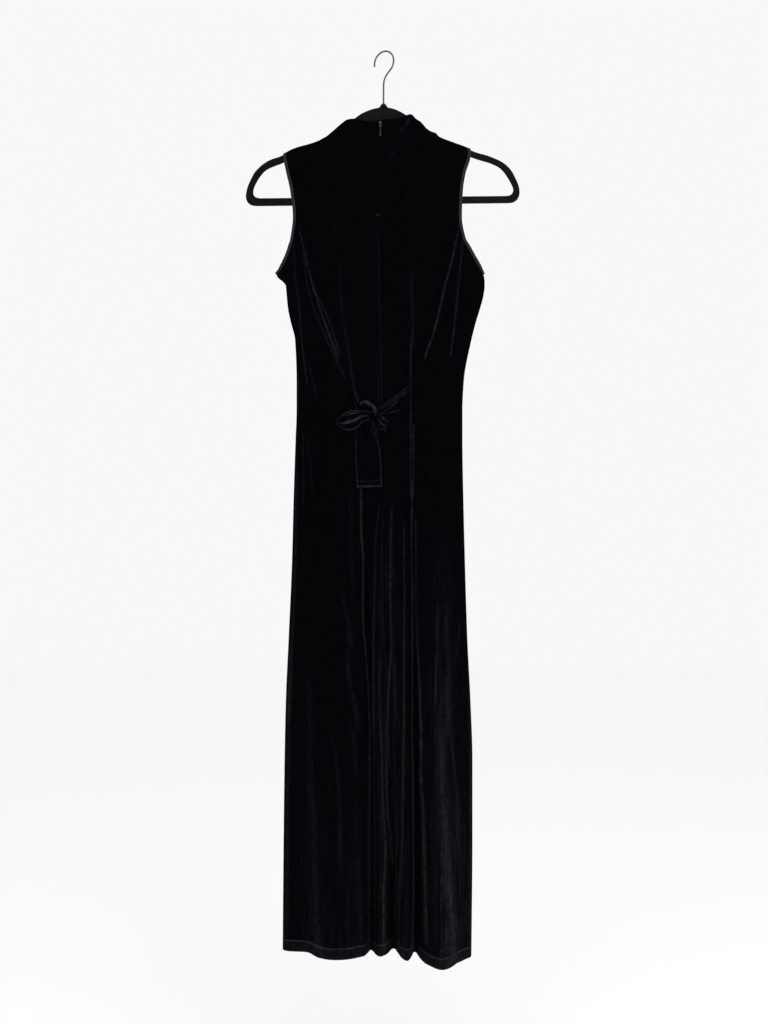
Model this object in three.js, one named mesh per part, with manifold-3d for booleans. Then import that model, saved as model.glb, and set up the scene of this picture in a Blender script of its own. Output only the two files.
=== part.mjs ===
import * as THREE from "three";
import { mergeVertices } from "three/addons/utils/BufferGeometryUtils.js";
import Module from "manifold-3d";

// A sleeveless maxi dress of black stretch velvet, seen from its back, on a flocked hanger.
// Millimetres, +Z up. The origin is where the hook holds, at the inner top of its bend.
// The back of the dress faces -Y, its front faces +Y.

// Driving sizes
const WALL = 1.2;
const SEAM = 0.15;
const UNDERARM = -368.4;
const CAP = 5.7;
const NECK_REACH = 14;
const NECK_MIDDLE = -2.5;
const NECK_HALF = 93;
const FRONT_NECK_DROP = 9;
const BINDING_WIDTH = 5.5;
const BINDING_THICKNESS = 2;
const ZIP_LENGTH = 150;
const ZIP_TAPE_WIDTH = 24;
const HANGER_THICKNESS = 6;
const HANGER_ROUND = 2.4;
const ARM_UNDER_CLOTH = 2.3;
const HOOK_RADIUS = 18.4;
const HOOK_WIRE = 1.4;
const HOOK_TURN = 32;
const LOW_ROWS = 22;
const HIGH_ROWS = 10;
const LOOP_STRAIGHT = 0.4;
const LOOP_ROWS = [0, 0.1, 0.2, 0.3, 0.4, 0.44, 0.48, 0.52, 0.56, 0.6, 0.7, 0.8, 0.9, 1];

const mix = (a, b, t) => a + (b - a) * t;
const smooth = (t) => {
  const c = Math.min(1, Math.max(0, t));
  return c * c * (3 - 2 * c);
};
const vector = (x, y, z) => new THREE.Vector3(x, y, z);

// A smooth curve through table rows that doesn't overshoot them.
function curve(rows, from, to) {
  const points = rows.map((row) => [row[from], row[to]]).sort((a, b) => a[0] - b[0]);
  const n = points.length;
  const step = [];
  for (let i = 0; i < n - 1; i++) {
    step.push((points[i + 1][1] - points[i][1]) / (points[i + 1][0] - points[i][0]));
  }
  const slope = points.map((point, i) => {
    if (i === 0) return step[0];
    if (i === n - 1) return step[n - 2];
    if (step[i - 1] * step[i] <= 0) return 0;
    return (2 * step[i - 1] * step[i]) / (step[i - 1] + step[i]);
  });
  return (at) => {
    if (at <= points[0][0]) return points[0][1];
    if (at >= points[n - 1][0]) return points[n - 1][1];
    let i = 0;
    while (at > points[i + 1][0]) i++;
    const width = points[i + 1][0] - points[i][0];
    const t = (at - points[i][0]) / width;
    const a = points[i][1] * (1 + 2 * t) * (1 - t) ** 2 + slope[i] * width * t * (1 - t) ** 2;
    const b = points[i + 1][1] * t * t * (3 - 2 * t) - slope[i + 1] * width * t * t * (1 - t);
    return a + b;
  };
}

// Side edges of the dress at each level, from the shoulders to the hem.
const EDGES = [
  { z: -97.8, left: -154.0, right: 132.8 },
  { z: -138.5, left: -157.3, right: 134.5 },
  { z: -166.3, left: -159.4, right: 136.6 },
  { z: -195.6, left: -154.5, right: 128.4 },
  { z: -224.9, left: -148.0, right: 123.6 },
  { z: -268.9, left: -143.4, right: 121.9 },
  { z: -303.2, left: -148.0, right: 128.4 },
  { z: -322.7, left: -152.9, right: 138.2 },
  { z: -342.3, left: -159.9, right: 148.0 },
  { z: -358.6, left: -165.4, right: 154.8 },
  { z: -368.4, left: -167.1, right: 158.1 },
  { z: -379.8, left: -160.6, right: 161.4 },
  { z: -396.1, left: -158.9, right: 160.6 },
  { z: -417.3, left: -156.8, right: 155.7 },
  { z: -440.1, left: -152.1, right: 150.0 },
  { z: -469.4, left: -145.1, right: 142.6 },
  { z: -534.6, left: -142.6, right: 130.4 },
  { z: -583.5, left: -142.6, right: 128.0 },
  { z: -632.4, left: -144.3, right: 128.0 },
  { z: -730.2, left: -147.5, right: 129.6 },
  { z: -828.0, left: -150.0, right: 132.0 },
  { z: -958.4, left: -155.7, right: 136.1 },
  { z: -1056.2, left: -160.1, right: 141.0 },
  { z: -1154.0, left: -162.2, right: 144.3 },
  { z: -1284.4, left: -163.8, right: 144.3 },
  { z: -1471.9, left: -165.4, right: 142.6 },
];
const leftEdge = curve(EDGES, "z", "left");
const rightEdge = curve(EDGES, "z", "right");

// The three seams of the back: two princess seams and the centre seam that holds the zip.
const SEAMS = [
  { z: -97.8, left: -90.5, centre: -4.9, right: 80.7 },
  { z: -133.7, left: -87.2, centre: -7.0, right: 76.9 },
  { z: -184.2, left: -83.4, centre: -9.3, right: 71.0 },
  { z: -241.2, left: -79.1, centre: -10.2, right: 64.4 },
  { z: -306.4, left: -75.3, centre: -9.8, right: 55.0 },
  { z: -376.5, left: -71.1, centre: -8.3, right: 46.5 },
  { z: -428.7, left: -67.2, centre: -7.1, right: 46.0 },
  { z: -493.9, left: -58.7, centre: -5.7, right: 44.0 },
  { z: -554.2, left: -48.1, centre: -4.4, right: 43.3 },
  { z: -632.4, left: -42.4, centre: -3.1, right: 44.0 },
  { z: -712.3, left: -38.3, centre: -1.9, right: 44.8 },
  { z: -823.1, left: -34.2, centre: -0.2, right: 45.3 },
  { z: -958.4, left: -30.2, centre: 2.8, right: 46.0 },
  { z: -1056.2, left: -25.7, centre: 5.7, right: 46.4 },
  { z: -1154.0, left: -23.3, centre: 9.6, right: 46.8 },
  { z: -1284.4, left: -22.5, centre: 18.7, right: 47.7 },
  { z: -1382.2, left: -22.1, centre: 18.7, right: 48.3 },
  { z: -1471.9, left: -21.7, centre: 17.1, right: 48.9 },
];
const seamLine = {
  left: curve(SEAMS, "z", "left"),
  centre: curve(SEAMS, "z", "centre"),
  right: curve(SEAMS, "z", "right"),
};

// Upper edge: shoulder tips, shoulder seams and the standing neck with its soft bumps.
const UPPER_EDGE = [
  { x: -186.6, z: -176.0 }, { x: -165.4, z: -166.3 }, { x: -147.5, z: -157.3 },
  { x: -111.7, z: -146.7 }, { x: -95.4, z: -138.5 }, { x: -80.7, z: -128.0 },
  { x: -69.3, z: -119.0 }, { x: -59.5, z: -113.0 }, { x: -51.3, z: -112.0 },
  { x: -26.9, z: -116.5 }, { x: -0.8, z: -114.1 }, { x: 25.3, z: -111.3 },
  { x: 43.2, z: -106.3 }, { x: 51.3, z: -111.2 }, { x: 59.5, z: -118.7 },
  { x: 69.3, z: -126.5 }, { x: 80.7, z: -132.4 }, { x: 90.5, z: -138.5 },
  { x: 111.7, z: -146.7 }, { x: 132.8, z: -154.2 }, { x: 142.6, z: -158.4 },
  { x: 163.8, z: -167.1 },
];
const upperEdge = curve(UPPER_EDGE, "x", "z");

// The hem line drops a little unevenly from side to side.
const HEM = [
  { x: -165.4, z: -1462.1 }, { x: -124.7, z: -1458.8 }, { x: -105.1, z: -1465.9 },
  { x: -85.6, z: -1468.6 }, { x: -54.6, z: -1465.4 }, { x: -31.8, z: -1462.9 },
  { x: -10.6, z: -1462.1 }, { x: 10.6, z: -1460.5 }, { x: 22.0, z: -1465.4 },
  { x: 38.3, z: -1468.6 }, { x: 49.7, z: -1465.4 }, { x: 57.9, z: -1468.6 },
  { x: 67.6, z: -1475.1 }, { x: 90.5, z: -1480.5 }, { x: 106.8, z: -1478.4 },
  { x: 123.1, z: -1473.5 }, { x: 142.6, z: -1473.5 },
];
const hemLine = curve(HEM, "x", "z");

// How far the back and the front stand off the plane of the hanger at the middle.
const DEPTHS = [
  { z: -105, back: 15, front: 15 },
  { z: -126, back: 12, front: 12 },
  { z: -140, back: 10, front: 11 },
  { z: -184, back: 10.5, front: 11 },
  { z: -241, back: 12, front: 13 },
  { z: -300, back: 14.5, front: 16 },
  { z: -360, back: 17, front: 20 },
  { z: -437, back: 18, front: 21 },
  { z: -551, back: 14, front: 16 },
  { z: -665, back: 16, front: 19 },
  { z: -828, back: 20, front: 23 },
  { z: -1056, back: 24, front: 27 },
  { z: -1301, back: 27, front: 30 },
  { z: -1481, back: 28, front: 32 },
];

// At the armholes the edges hang apart by the hanger; they close at the side seams.
const ARMHOLE = [
  { z: -97, gap: 5.7, curl: 0 },
  { z: -262, gap: 5.7, curl: 0 },
  { z: -303, gap: 4.4, curl: 0.1 },
  { z: -345, gap: 2.4, curl: 1 },
  { z: -368.4, gap: SEAM, curl: 1 },
  { z: -1481, gap: SEAM, curl: 1 },
];
const edgeGap = curve(ARMHOLE, "z", "gap");
const edgeCurl = curve(ARMHOLE, "z", "curl");

// Folds of the back: each runs from one level down to another, along a seam or on its own line.
const BACK_FOLDS = [
  { name: "groove of left seam", along: "left", from: -733, to: -1500, start: 0.4, end: 0.8, wide: 4.2, wideLow: 6.5, high: -2, highLow: -26, fade: 120 },
  { name: "roll left of left seam", along: "left", from: -690, to: -1330, start: -4.5, end: -6.5, wide: 4.5, wideLow: 7, high: 2.5, highLow: 3, fade: 90 },
  { name: "short fold off left seam", from: -720, to: -1180, start: -10.6, end: -15.5, bend: -2.5, wide: 4, wideLow: 5, high: 2, highLow: 2, fade: 90 },
  { name: "left pipe", from: -960, to: -1500, start: -6.5, end: -5, bend: 1, wide: 6, wideLow: 8.5, high: 1.5, highLow: 7, fade: 120 },
  { name: "recess beside centre seam", from: -800, to: -1500, start: 8, end: 17.5, bend: -1, wide: 5.5, wideLow: 8, high: -2.5, highLow: -33, fade: 160 },
  { name: "right pipe", from: -740, to: -1500, start: 32, end: 37.5, bend: -3.5, wide: 5, wideLow: 8, high: 1.5, highLow: 8, fade: 110 },
  { name: "groove of right seam", along: "right", from: -600, to: -1500, start: 0.6, end: 1.4, wide: 3.8, wideLow: 5.8, high: -1.5, highLow: -25, fade: 100 },
  { name: "roll right of right seam", from: -745, to: -1215, start: 50, end: 60, bend: 0.5, wide: 4, wideLow: 4.5, high: 2, highLow: 2.5, fade: 80 },
  { name: "broad right swell", from: -850, to: -1500, start: 90, end: 98, bend: -3, wide: 20, wideLow: 25, high: 2, highLow: 20, fade: 180 },
  { name: "narrow right ridge", from: -880, to: -1090, start: 84, end: 80, wide: 5, wideLow: 5, high: 2, highLow: 2, fade: 60 },
  { name: "right edge ridge", from: -880, to: -1500, start: 121, end: 126, wide: 7, wideLow: 8, high: 2, highLow: 3, fade: 100 },
  { name: "broad left swell", from: -700, to: -1500, start: -48, end: -58, bend: -3, wide: 13, wideLow: 26, high: 2, highLow: 9, fade: 150 },
  { name: "outer left swell", from: -1150, to: -1500, start: -115, end: -104, wide: 18, wideLow: 20, high: 2, highLow: 4, fade: 120 },
  { name: "thin left hollow", from: -1120, to: -1370, start: -77, end: -68, wide: 8, wideLow: 8, high: -2.5, highLow: -2.5, fade: 80 },
  { name: "left bust pull", from: -293, to: -505, start: -137.7, end: -74.7, bend: -5, wide: 7, wideLow: 8, high: 3.2, highLow: 2.4, fade: 60 },
  { name: "left side pull", from: -300, to: -545, start: -147, end: -124.7, bend: -1.5, wide: 6, wideLow: 6, high: 2.4, highLow: 1.6, fade: 60 },
  { name: "left inner pull", from: -385, to: -500, start: -115, end: -71, wide: 6, wideLow: 6, high: 2, highLow: 1.8, fade: 40 },
  { name: "right bust pull", from: -272, to: -505, start: 125, end: 66, bend: 3.5, wide: 7.5, wideLow: 8, high: 4.2, highLow: 3, fade: 60 },
  { name: "right side pull", from: -300, to: -500, start: 129, end: 108.4, bend: 3, wide: 6, wideLow: 6, high: 2.4, highLow: 2, fade: 60 },
  { name: "swell on right seam", along: "right", from: -320, to: -500, start: 0, end: 0, wide: 6, wideLow: 5, high: 1.8, highLow: 1.4, fade: 50 },
  { name: "neck crease", from: -109, to: -140, start: 40, end: 25, wide: 4.5, wideLow: 4.5, high: -2.4, highLow: -1.6, fade: 9 },
  { name: "first neck bump", from: -112, to: -165, start: 59.5, end: 45, wide: 5, wideLow: 7, high: 2.4, highLow: 1.2, fade: 12 },
  { name: "second neck bump", from: -126, to: -180, start: 83, end: 62, wide: 5, wideLow: 7, high: 2, highLow: 1, fade: 14 },
  { name: "left neck crease", from: -122, to: -160, start: -66, end: -56, wide: 5, wideLow: 6, high: -1.6, highLow: -1, fade: 14 },
];

// Folds of the front, hidden from the photographed side and plainly alike.
const FRONT_FOLDS = [
  { name: "left bust drape", from: -290, to: -520, start: -134, end: -70, bend: -5, wide: 8, wideLow: 9, high: 3, highLow: 2, fade: 60 },
  { name: "right bust drape", from: -285, to: -510, start: 122, end: 62, bend: 5, wide: 8, wideLow: 9, high: 3, highLow: 2, fade: 60 },
  { name: "neck drape", from: -125, to: -210, start: -30, end: 20, bend: 2, wide: 9, wideLow: 9, high: 1.8, highLow: 1.2, fade: 30 },
  { name: "far left pipe", from: -760, to: -1500, start: -96, end: -104, bend: 2, wide: 15, wideLow: 20, high: 2, highLow: 10, fade: 160 },
  { name: "left pipe", from: -640, to: -1500, start: -38, end: -50, bend: 4, wide: 12, wideLow: 15, high: 2, highLow: 13, fade: 160 },
  { name: "left hollow", from: -700, to: -1500, start: -66, end: -78, bend: 2, wide: 7, wideLow: 9, high: -1.5, highLow: -12, fade: 160 },
  { name: "middle hollow", from: -720, to: -1500, start: -8, end: -14, bend: -2, wide: 8, wideLow: 10, high: -1.5, highLow: -13, fade: 160 },
  { name: "right pipe", from: -690, to: -1500, start: 26, end: 24, bend: 3, wide: 12, wideLow: 16, high: 2, highLow: 11, fade: 160 },
  { name: "right hollow", from: -810, to: -1500, start: 58, end: 62, bend: -2, wide: 8, wideLow: 10, high: -1.5, highLow: -14, fade: 160 },
  { name: "far right pipe", from: -760, to: -1500, start: 88, end: 98, bend: 3, wide: 13, wideLow: 17, high: 2, highLow: 9, fade: 160 },
];

const BACK = {
  sign: -1,
  folds: BACK_FOLDS,
  depth: curve(DEPTHS, "z", "back"),
  top: upperEdge,
};
const FRONT = {
  sign: 1,
  folds: FRONT_FOLDS,
  depth: curve(DEPTHS, "z", "front"),
  top: (x) => {
    const across = (x - NECK_MIDDLE) / NECK_HALF;
    return upperEdge(x) - FRONT_NECK_DROP * Math.max(0, 1 - across * across);
  },
};

function foldHeight(fold, x, z) {
  if (z > fold.from || z < fold.to) return 0;
  const t = (fold.from - z) / (fold.from - fold.to);
  const base = fold.along ? seamLine[fold.along](z) : 0;
  const path = base + mix(fold.start, fold.end, t) + (fold.bend || 0) * 4 * t * (1 - t);
  const reach = (x - path) / mix(fold.wide, fold.wideLow, t);
  if (Math.abs(reach) > 3) return 0;
  const fadeLow = fold.to < -1490 ? 1 : smooth((z - fold.to) / fold.fade);
  const fade = smooth((fold.from - z) / fold.fade) * fadeLow;
  return fade * mix(fold.high, fold.highLow, t) * Math.exp(-reach * reach);
}

// Distance of the cloth from the middle plane at x, z: a flattened tube with folds,
// rounded over the hanger at the shoulders and left open at the neck.
function clothDepth(side, x, z) {
  const left = leftEdge(z);
  const right = rightEdge(z);
  const w = Math.min(1, Math.abs((2 * x - left - right) / (right - left)));
  const round = Math.sqrt(Math.max(0, 1 - w ** 3.2));
  const profile = mix(1 - w ** 3, round, edgeCurl(z));
  const gap = edgeGap(z);
  let depth = gap + (side.depth(z) - gap) * profile;
  const calm = smooth((1 - w) / 0.14);
  for (const fold of side.folds) depth += calm * foldHeight(fold, x, z);
  const below = side.top(x) - z;
  const across = (x - NECK_MIDDLE) / NECK_HALF;
  if (Math.abs(across) < 1) {
    const open = SEAM + (depth - SEAM) * Math.sqrt(1 - across * across);
    const near = Math.max(0, 1 - below / NECK_REACH);
    return depth - (depth - open) * near * near;
  }
  const near = Math.min(1, Math.max(0, 1 - below / CAP));
  return SEAM + (depth - SEAM) * Math.sqrt(1 - near * near);
}

// A closed solid from a grid of outer and inner points.
function solidFromGrid(outer, inner, closed) {
  const rows = outer.length;
  const columns = outer[0].length;
  const positions = [];
  for (const grid of [outer, inner]) {
    for (const row of grid) {
      for (const p of row) positions.push(p.x, p.y, p.z);
    }
  }
  const at = (layer, i, j) => layer * rows * columns + (i % rows) * columns + j;
  const faces = [];
  const quad = (a, b, c, d) => faces.push(a, b, c, a, c, d);
  const last = closed ? rows : rows - 1;
  for (let i = 0; i < last; i++) {
    for (let j = 0; j < columns - 1; j++) {
      quad(at(0, i, j), at(0, i, j + 1), at(0, i + 1, j + 1), at(0, i + 1, j));
      quad(at(1, i, j), at(1, i + 1, j), at(1, i + 1, j + 1), at(1, i, j + 1));
    }
    quad(at(0, i, 0), at(0, i + 1, 0), at(1, i + 1, 0), at(1, i, 0));
    const j = columns - 1;
    quad(at(0, i, j), at(1, i, j), at(1, i + 1, j), at(0, i + 1, j));
  }
  if (!closed) {
    for (let j = 0; j < columns - 1; j++) {
      quad(at(0, 0, j), at(1, 0, j), at(1, 0, j + 1), at(0, 0, j + 1));
      const i = rows - 1;
      quad(at(0, i, j), at(0, i, j + 1), at(1, i, j + 1), at(1, i, j));
    }
  }
  return facingOut(positions, faces);
}

// A closed solid from rings of points, joined end to end or closed by flat ends.
function solidFromRings(rings, closed) {
  const count = rings[0].length;
  const positions = [];
  for (const ring of rings) {
    for (const p of ring) positions.push(p.x, p.y, p.z);
  }
  const faces = [];
  const last = closed ? rings.length : rings.length - 1;
  for (let i = 0; i < last; i++) {
    const next = (i + 1) % rings.length;
    for (let j = 0; j < count; j++) {
      const k = (j + 1) % count;
      const a = i * count + j;
      const b = i * count + k;
      const c = next * count + k;
      const d = next * count + j;
      faces.push(a, b, c, a, c, d);
    }
  }
  if (!closed) {
    const end = (rings.length - 1) * count;
    for (let j = 1; j < count - 1; j++) {
      faces.push(0, j + 1, j);
      faces.push(end, end + j, end + j + 1);
    }
  }
  return facingOut(positions, faces);
}

function facingOut(positions, faces) {
  let volume = 0;
  const p = (i) => vector(positions[3 * i], positions[3 * i + 1], positions[3 * i + 2]);
  for (let i = 0; i < faces.length; i += 3) {
    volume += p(faces[i]).dot(p(faces[i + 1]).cross(p(faces[i + 2])));
  }
  if (volume < 0) {
    for (let i = 0; i < faces.length; i += 3) {
      [faces[i + 1], faces[i + 2]] = [faces[i + 2], faces[i + 1]];
    }
  }
  const geometry = new THREE.BufferGeometry();
  geometry.setAttribute("position", new THREE.Float32BufferAttribute(positions, 3));
  geometry.setIndex(faces);
  geometry.computeVertexNormals();
  return geometry;
}

// The side of the cloth that faces outward at u, v of a surface.
function surfaceNormal(surface, u, v, outward) {
  const step = 1e-4;
  const du = surface(Math.min(1, u + step), v).sub(surface(Math.max(0, u - step), v));
  const low = Math.max(surface.low ?? 0, v - step);
  const high = Math.min(surface.high ?? 1, v + step);
  const dv = surface(u, high).sub(surface(u, low));
  const normal = du.cross(dv).normalize();
  return normal.dot(outward) < 0 ? normal.negate() : normal;
}

// Rows of a panel: v 0 to 1 is hem to underarm, 1 to 2 goes up to the neck band,
// 2 to 3 is the neck band and the turn over the shoulder.
function panelSurface(side, across) {
  const ends = new Map();
  const endsAt = (u) => {
    if (!ends.has(u)) {
      let top = -130;
      let hem = -1465;
      for (let i = 0; i < 12; i++) {
        top = side.top(across(u, top));
        hem = hemLine(across(u, hem));
      }
      ends.set(u, { top, hem });
    }
    return ends.get(u);
  };
  const surface = (u, v) => {
    const { top, hem } = endsAt(u);
    let z = top - CAP * (1 - Math.cos((3 - v) * Math.PI));
    if (v <= 1) z = mix(hem, UNDERARM, v);
    else if (v <= 2) z = mix(UNDERARM, top - NECK_REACH, v - 1);
    else if (v <= 2.5) z = top - mix(NECK_REACH, CAP, (v - 2) * 2);
    const x = across(u, z);
    return vector(x, side.sign * clothDepth(side, x, z), z);
  };
  surface.low = 0;
  surface.high = 3;
  return surface;
}

const panelRows = [];
for (let i = 0; i < LOW_ROWS; i++) panelRows.push(1 - ((LOW_ROWS - i) / LOW_ROWS) ** 1.35);
for (let i = 0; i < HIGH_ROWS; i++) panelRows.push(1 + i / HIGH_ROWS);
panelRows.push(2, 2.25, 2.5, 2.625, 2.75, 2.875, 3);

function panelSolid(side, across, columns) {
  const surface = panelSurface(side, across);
  const outward = vector(0, side.sign, 0.02);
  const outer = [];
  const inner = [];
  for (const v of panelRows) {
    const outerRow = [];
    const innerRow = [];
    for (let j = 0; j <= columns; j++) {
      const u = j / columns;
      const point = surface(u, v);
      const lean = outward.clone();
      const edge = (2 * point.x - leftEdge(point.z) - rightEdge(point.z)) / (rightEdge(point.z) - leftEdge(point.z));
      lean.x = 0.6 * edge ** 9;
      const normal = surfaceNormal(surface, u, v, lean);
      outerRow.push(point);
      innerRow.push(point.clone().addScaledVector(normal, -WALL));
    }
    outer.push(outerRow);
    inner.push(innerRow);
  }
  return solidFromGrid(outer, inner, false);
}

// Columns of the four back panels, closer together near the seams and the side edges.
const sideColumn = (u, z, seam, edge) => {
  const t = u ** 1.3;
  return mix(seam, edge, mix(t, Math.sin((t * Math.PI) / 2), edgeCurl(z)));
};
const backSideLeft = (u, z) => sideColumn(u, z, seamLine.left(z) - SEAM, leftEdge(z));
const backSideRight = (u, z) => sideColumn(u, z, seamLine.right(z) + SEAM, rightEdge(z));
const backCenterLeft = (u, z) => mix(seamLine.left(z) + SEAM, seamLine.centre(z) - SEAM, u);
const backCenterRight = (u, z) => mix(seamLine.centre(z) + SEAM, seamLine.right(z) - SEAM, u);
const frontWhole = (u, z) => {
  const s = mix(2 * u - 1, Math.sin((Math.PI / 2) * (2 * u - 1)), edgeCurl(z));
  return mix(leftEdge(z), rightEdge(z), (1 + s) / 2);
};

// Binding of one armhole: a rounded strip beyond the cloth edge, up the back, over the
// shoulder, down the front and turned back on itself at the underarm.
function bindingSolid(backColumn, frontEdge, outwardX) {
  const centres = [];
  const strips = [];
  const half = (side, across, u, rows) => {
    const surface = panelSurface(side, across);
    for (const v of rows) {
      const point = surface(u, v);
      const lean = vector(outwardX * 0.1, side.sign, 0.3);
      const blend = edgeCurl(point.z);
      const inside = surface(Math.abs(u - 0.002), v);
      const step = 1e-3;
      const along = surface(u, Math.min(3, v + step)).sub(surface(u, Math.max(1, v - step))).normalize();
      let normal = inside.sub(point).cross(along).normalize();
      if (normal.dot(lean) < 0) normal.negate();
      normal.lerp(vector(0, side.sign, 0), smooth(blend * 2.5)).normalize();
      const wide = along.clone().cross(normal).normalize();
      if (wide.x * outwardX < 0) wide.negate();
      const middle = point.clone().addScaledVector(normal, -WALL / 2);
      middle.y = side.sign * Math.max(side.sign * middle.y, v > 2.9 ? 0 : 1.3);
      middle.addScaledVector(wide, 2 * SEAM + BINDING_WIDTH / 2);
      centres.push(middle);
      strips.push({ wide, normal });
    }
  };
  const rows = [];
  for (let i = 0; i < HIGH_ROWS; i++) rows.push(1 + i / HIGH_ROWS);
  rows.push(2, 2.25, 2.5, 2.625, 2.75, 2.875, 2.97);
  half(BACK, backColumn, 1, [...rows]);
  half(FRONT, frontWhole, frontEdge, [...rows].reverse());
  const first = centres[0];
  const last = centres[centres.length - 1];
  const wide = strips[0].wide.clone().add(strips[strips.length - 1].wide).normalize();
  const down = centres[0].clone().sub(centres[1]);
  down.y = 0;
  down.normalize();
  const radius = (last.y - first.y) / 2;
  const middle = first.clone().add(last).multiplyScalar(0.5);
  for (const angle of [-45, 0, 45]) {
    const turn = THREE.MathUtils.degToRad(angle);
    const normal = vector(0, -Math.sin(-turn), 0).addScaledVector(down, Math.cos(turn)).normalize();
    centres.push(middle.clone().addScaledVector(normal, radius));
    strips.push({ wide, normal });
  }
  const turned = [];
  const tail = centres.slice(-3).map((centre, i) => ({ centre, strip: strips[centres.length - 3 + i] }));
  for (const { centre, strip } of tail.reverse()) turned.push({ centre, strip });
  const stations = [];
  for (let i = 0; i < centres.length - 3; i++) stations.push({ centre: centres[i], strip: strips[i] });
  stations.push(...turned);
  const outline = [[1, 0.3], [0.75, 1], [-0.75, 1], [-1, 0.3], [-1, -0.3], [-0.75, -1], [0.75, -1], [1, -0.3]];
  const rings = stations.map(({ centre, strip }) => outline.map(([a, b]) => centre.clone()
    .addScaledVector(strip.wide, (a * BINDING_WIDTH) / 2)
    .addScaledVector(strip.normal, (b * BINDING_THICKNESS) / 2)));
  return solidFromRings(rings, true);
}

// A point on the back of the dress moved out from the cloth.
function liftedPoint(x, z, out) {
  const step = 0.05;
  const y = (a, b) => -clothDepth(BACK, a, b);
  const slopeX = (y(x + step, z) - y(x - step, z)) / (2 * step);
  const slopeZ = (y(x, z + step) - y(x, z - step)) / (2 * step);
  const normal = vector(slopeX, -1, slopeZ).normalize();
  return vector(x, y(x, z), z).addScaledVector(normal, out);
}

// A strip of cloth that lies on the back, between two edge lines and at a height above it.
function stripSurface(first, second, height) {
  const a = lineThrough(first);
  const b = lineThrough(second);
  return (u, v) => {
    const p = a(u);
    const q = b(u);
    return liftedPoint(mix(p[0], q[0], v), mix(p[1], q[1], v), height(u, v));
  };
}

function lineThrough(points) {
  const rows = points.map((point, i) => ({ t: i / (points.length - 1), x: point[0], z: point[1] }));
  const x = curve(rows, "t", "x");
  const z = curve(rows, "t", "z");
  return (t) => [x(t), z(t)];
}

function clothSolid(surface, rows, columns, thickness, outward) {
  const outer = [];
  const inner = [];
  for (let i = 0; i <= rows; i++) {
    const outerRow = [];
    const innerRow = [];
    for (let j = 0; j <= columns; j++) {
      const u = i / rows;
      const v = j / columns;
      const point = surface(u, v);
      const normal = surfaceNormal(surface, u, v, outward(u, v));
      outerRow.push(point.clone().addScaledVector(normal, thickness / 2));
      innerRow.push(point.clone().addScaledVector(normal, -thickness / 2));
    }
    outer.push(outerRow);
    inner.push(innerRow);
  }
  return solidFromGrid(outer, inner, false);
}

// A loop of the bow: out from the knot, round a half circle at its end, and back on top.
function loopSolid(top, bottom, height, room, puff) {
  const a = lineThrough(top);
  const b = lineThrough(bottom);
  const endX = top.at(-1)[0] - top.at(-2)[0];
  const endZ = top.at(-1)[1] - top.at(-2)[1];
  const endLength = Math.hypot(endX, endZ);
  const surface = (u, v) => {
    const s = Math.min(1, Math.max(0, Math.min(u, 1 - u) / LOOP_STRAIGHT));
    const turn = Math.min(1, Math.max(0, (u - LOOP_STRAIGHT) / (1 - 2 * LOOP_STRAIGHT)));
    const angle = Math.PI * (turn - 0.5);
    const p = a(s);
    const q = b(s);
    const beyond = (room / 2) * Math.cos(angle);
    const lift = room + puff * Math.sin(Math.PI * s) * Math.sin(Math.PI * v);
    const x = mix(p[0], q[0], v) + (beyond * endX) / endLength;
    const z = mix(p[1], q[1], v) + (beyond * endZ) / endLength;
    return liftedPoint(x, z, height + (lift * (1 + Math.sin(angle))) / 2);
  };
  const normalAt = (u, v) => {
    const step = 1e-3;
    const du = surface(Math.min(1, u + step), v).sub(surface(Math.max(0, u - step), v));
    const dv = surface(u, Math.min(1, v + step)).sub(surface(u, Math.max(0, v - step)));
    return du.cross(dv).normalize();
  };
  const outer = [];
  const inner = [];
  for (const u of LOOP_ROWS) {
    const outerRow = [];
    const innerRow = [];
    for (let j = 0; j <= 6; j++) {
      const point = surface(u, j / 6);
      const normal = normalAt(u, j / 6);
      outerRow.push(point.clone().addScaledVector(normal, WALL / 2));
      innerRow.push(point.clone().addScaledVector(normal, -WALL / 2));
    }
    outer.push(outerRow);
    inner.push(innerRow);
  }
  return solidFromGrid(outer, inner, false);
}

// A rounded roll along a path, with its own width and height at each station.
function rollSolid(path, widths, heights) {
  const count = 10;
  const rings = path.map((centre, i) => {
    const before = path[Math.max(0, i - 1)];
    const after = path[Math.min(path.length - 1, i + 1)];
    const along = after.clone().sub(before).normalize();
    const up = vector(0, -1, 0);
    const wide = along.clone().cross(up).normalize();
    const tall = wide.clone().cross(along).normalize();
    const ring = [];
    for (let j = 0; j < count; j++) {
      const angle = (2 * Math.PI * j) / count;
      ring.push(centre.clone()
        .addScaledVector(wide, widths[i] * Math.cos(angle))
        .addScaledVector(tall, heights[i] * Math.sin(angle)));
    }
    return ring;
  });
  return solidFromRings(rings, false);
}

const velvet = () => new THREE.MeshStandardMaterial({ color: 0x060608, roughness: 0.95, metalness: 0 });
const bindingCloth = () => new THREE.MeshStandardMaterial({ color: 0x141416, roughness: 0.85, metalness: 0 });
const tapeCloth = () => new THREE.MeshStandardMaterial({ color: 0x0c0c0e, roughness: 0.9, metalness: 0 });
const zipMetal = () => new THREE.MeshStandardMaterial({ color: 0x55565a, roughness: 0.35, metalness: 0.9 });
const flock = () => new THREE.MeshStandardMaterial({ color: 0x09090b, roughness: 1, metalness: 0 });
const chrome = () => new THREE.MeshStandardMaterial({ color: 0x8d9096, roughness: 0.2, metalness: 1 });

const group = new THREE.Group();
function add(name, geometry, material) {
  const mesh = new THREE.Mesh(geometry, material);
  mesh.name = name;
  group.add(mesh);
  return mesh;
}

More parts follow.
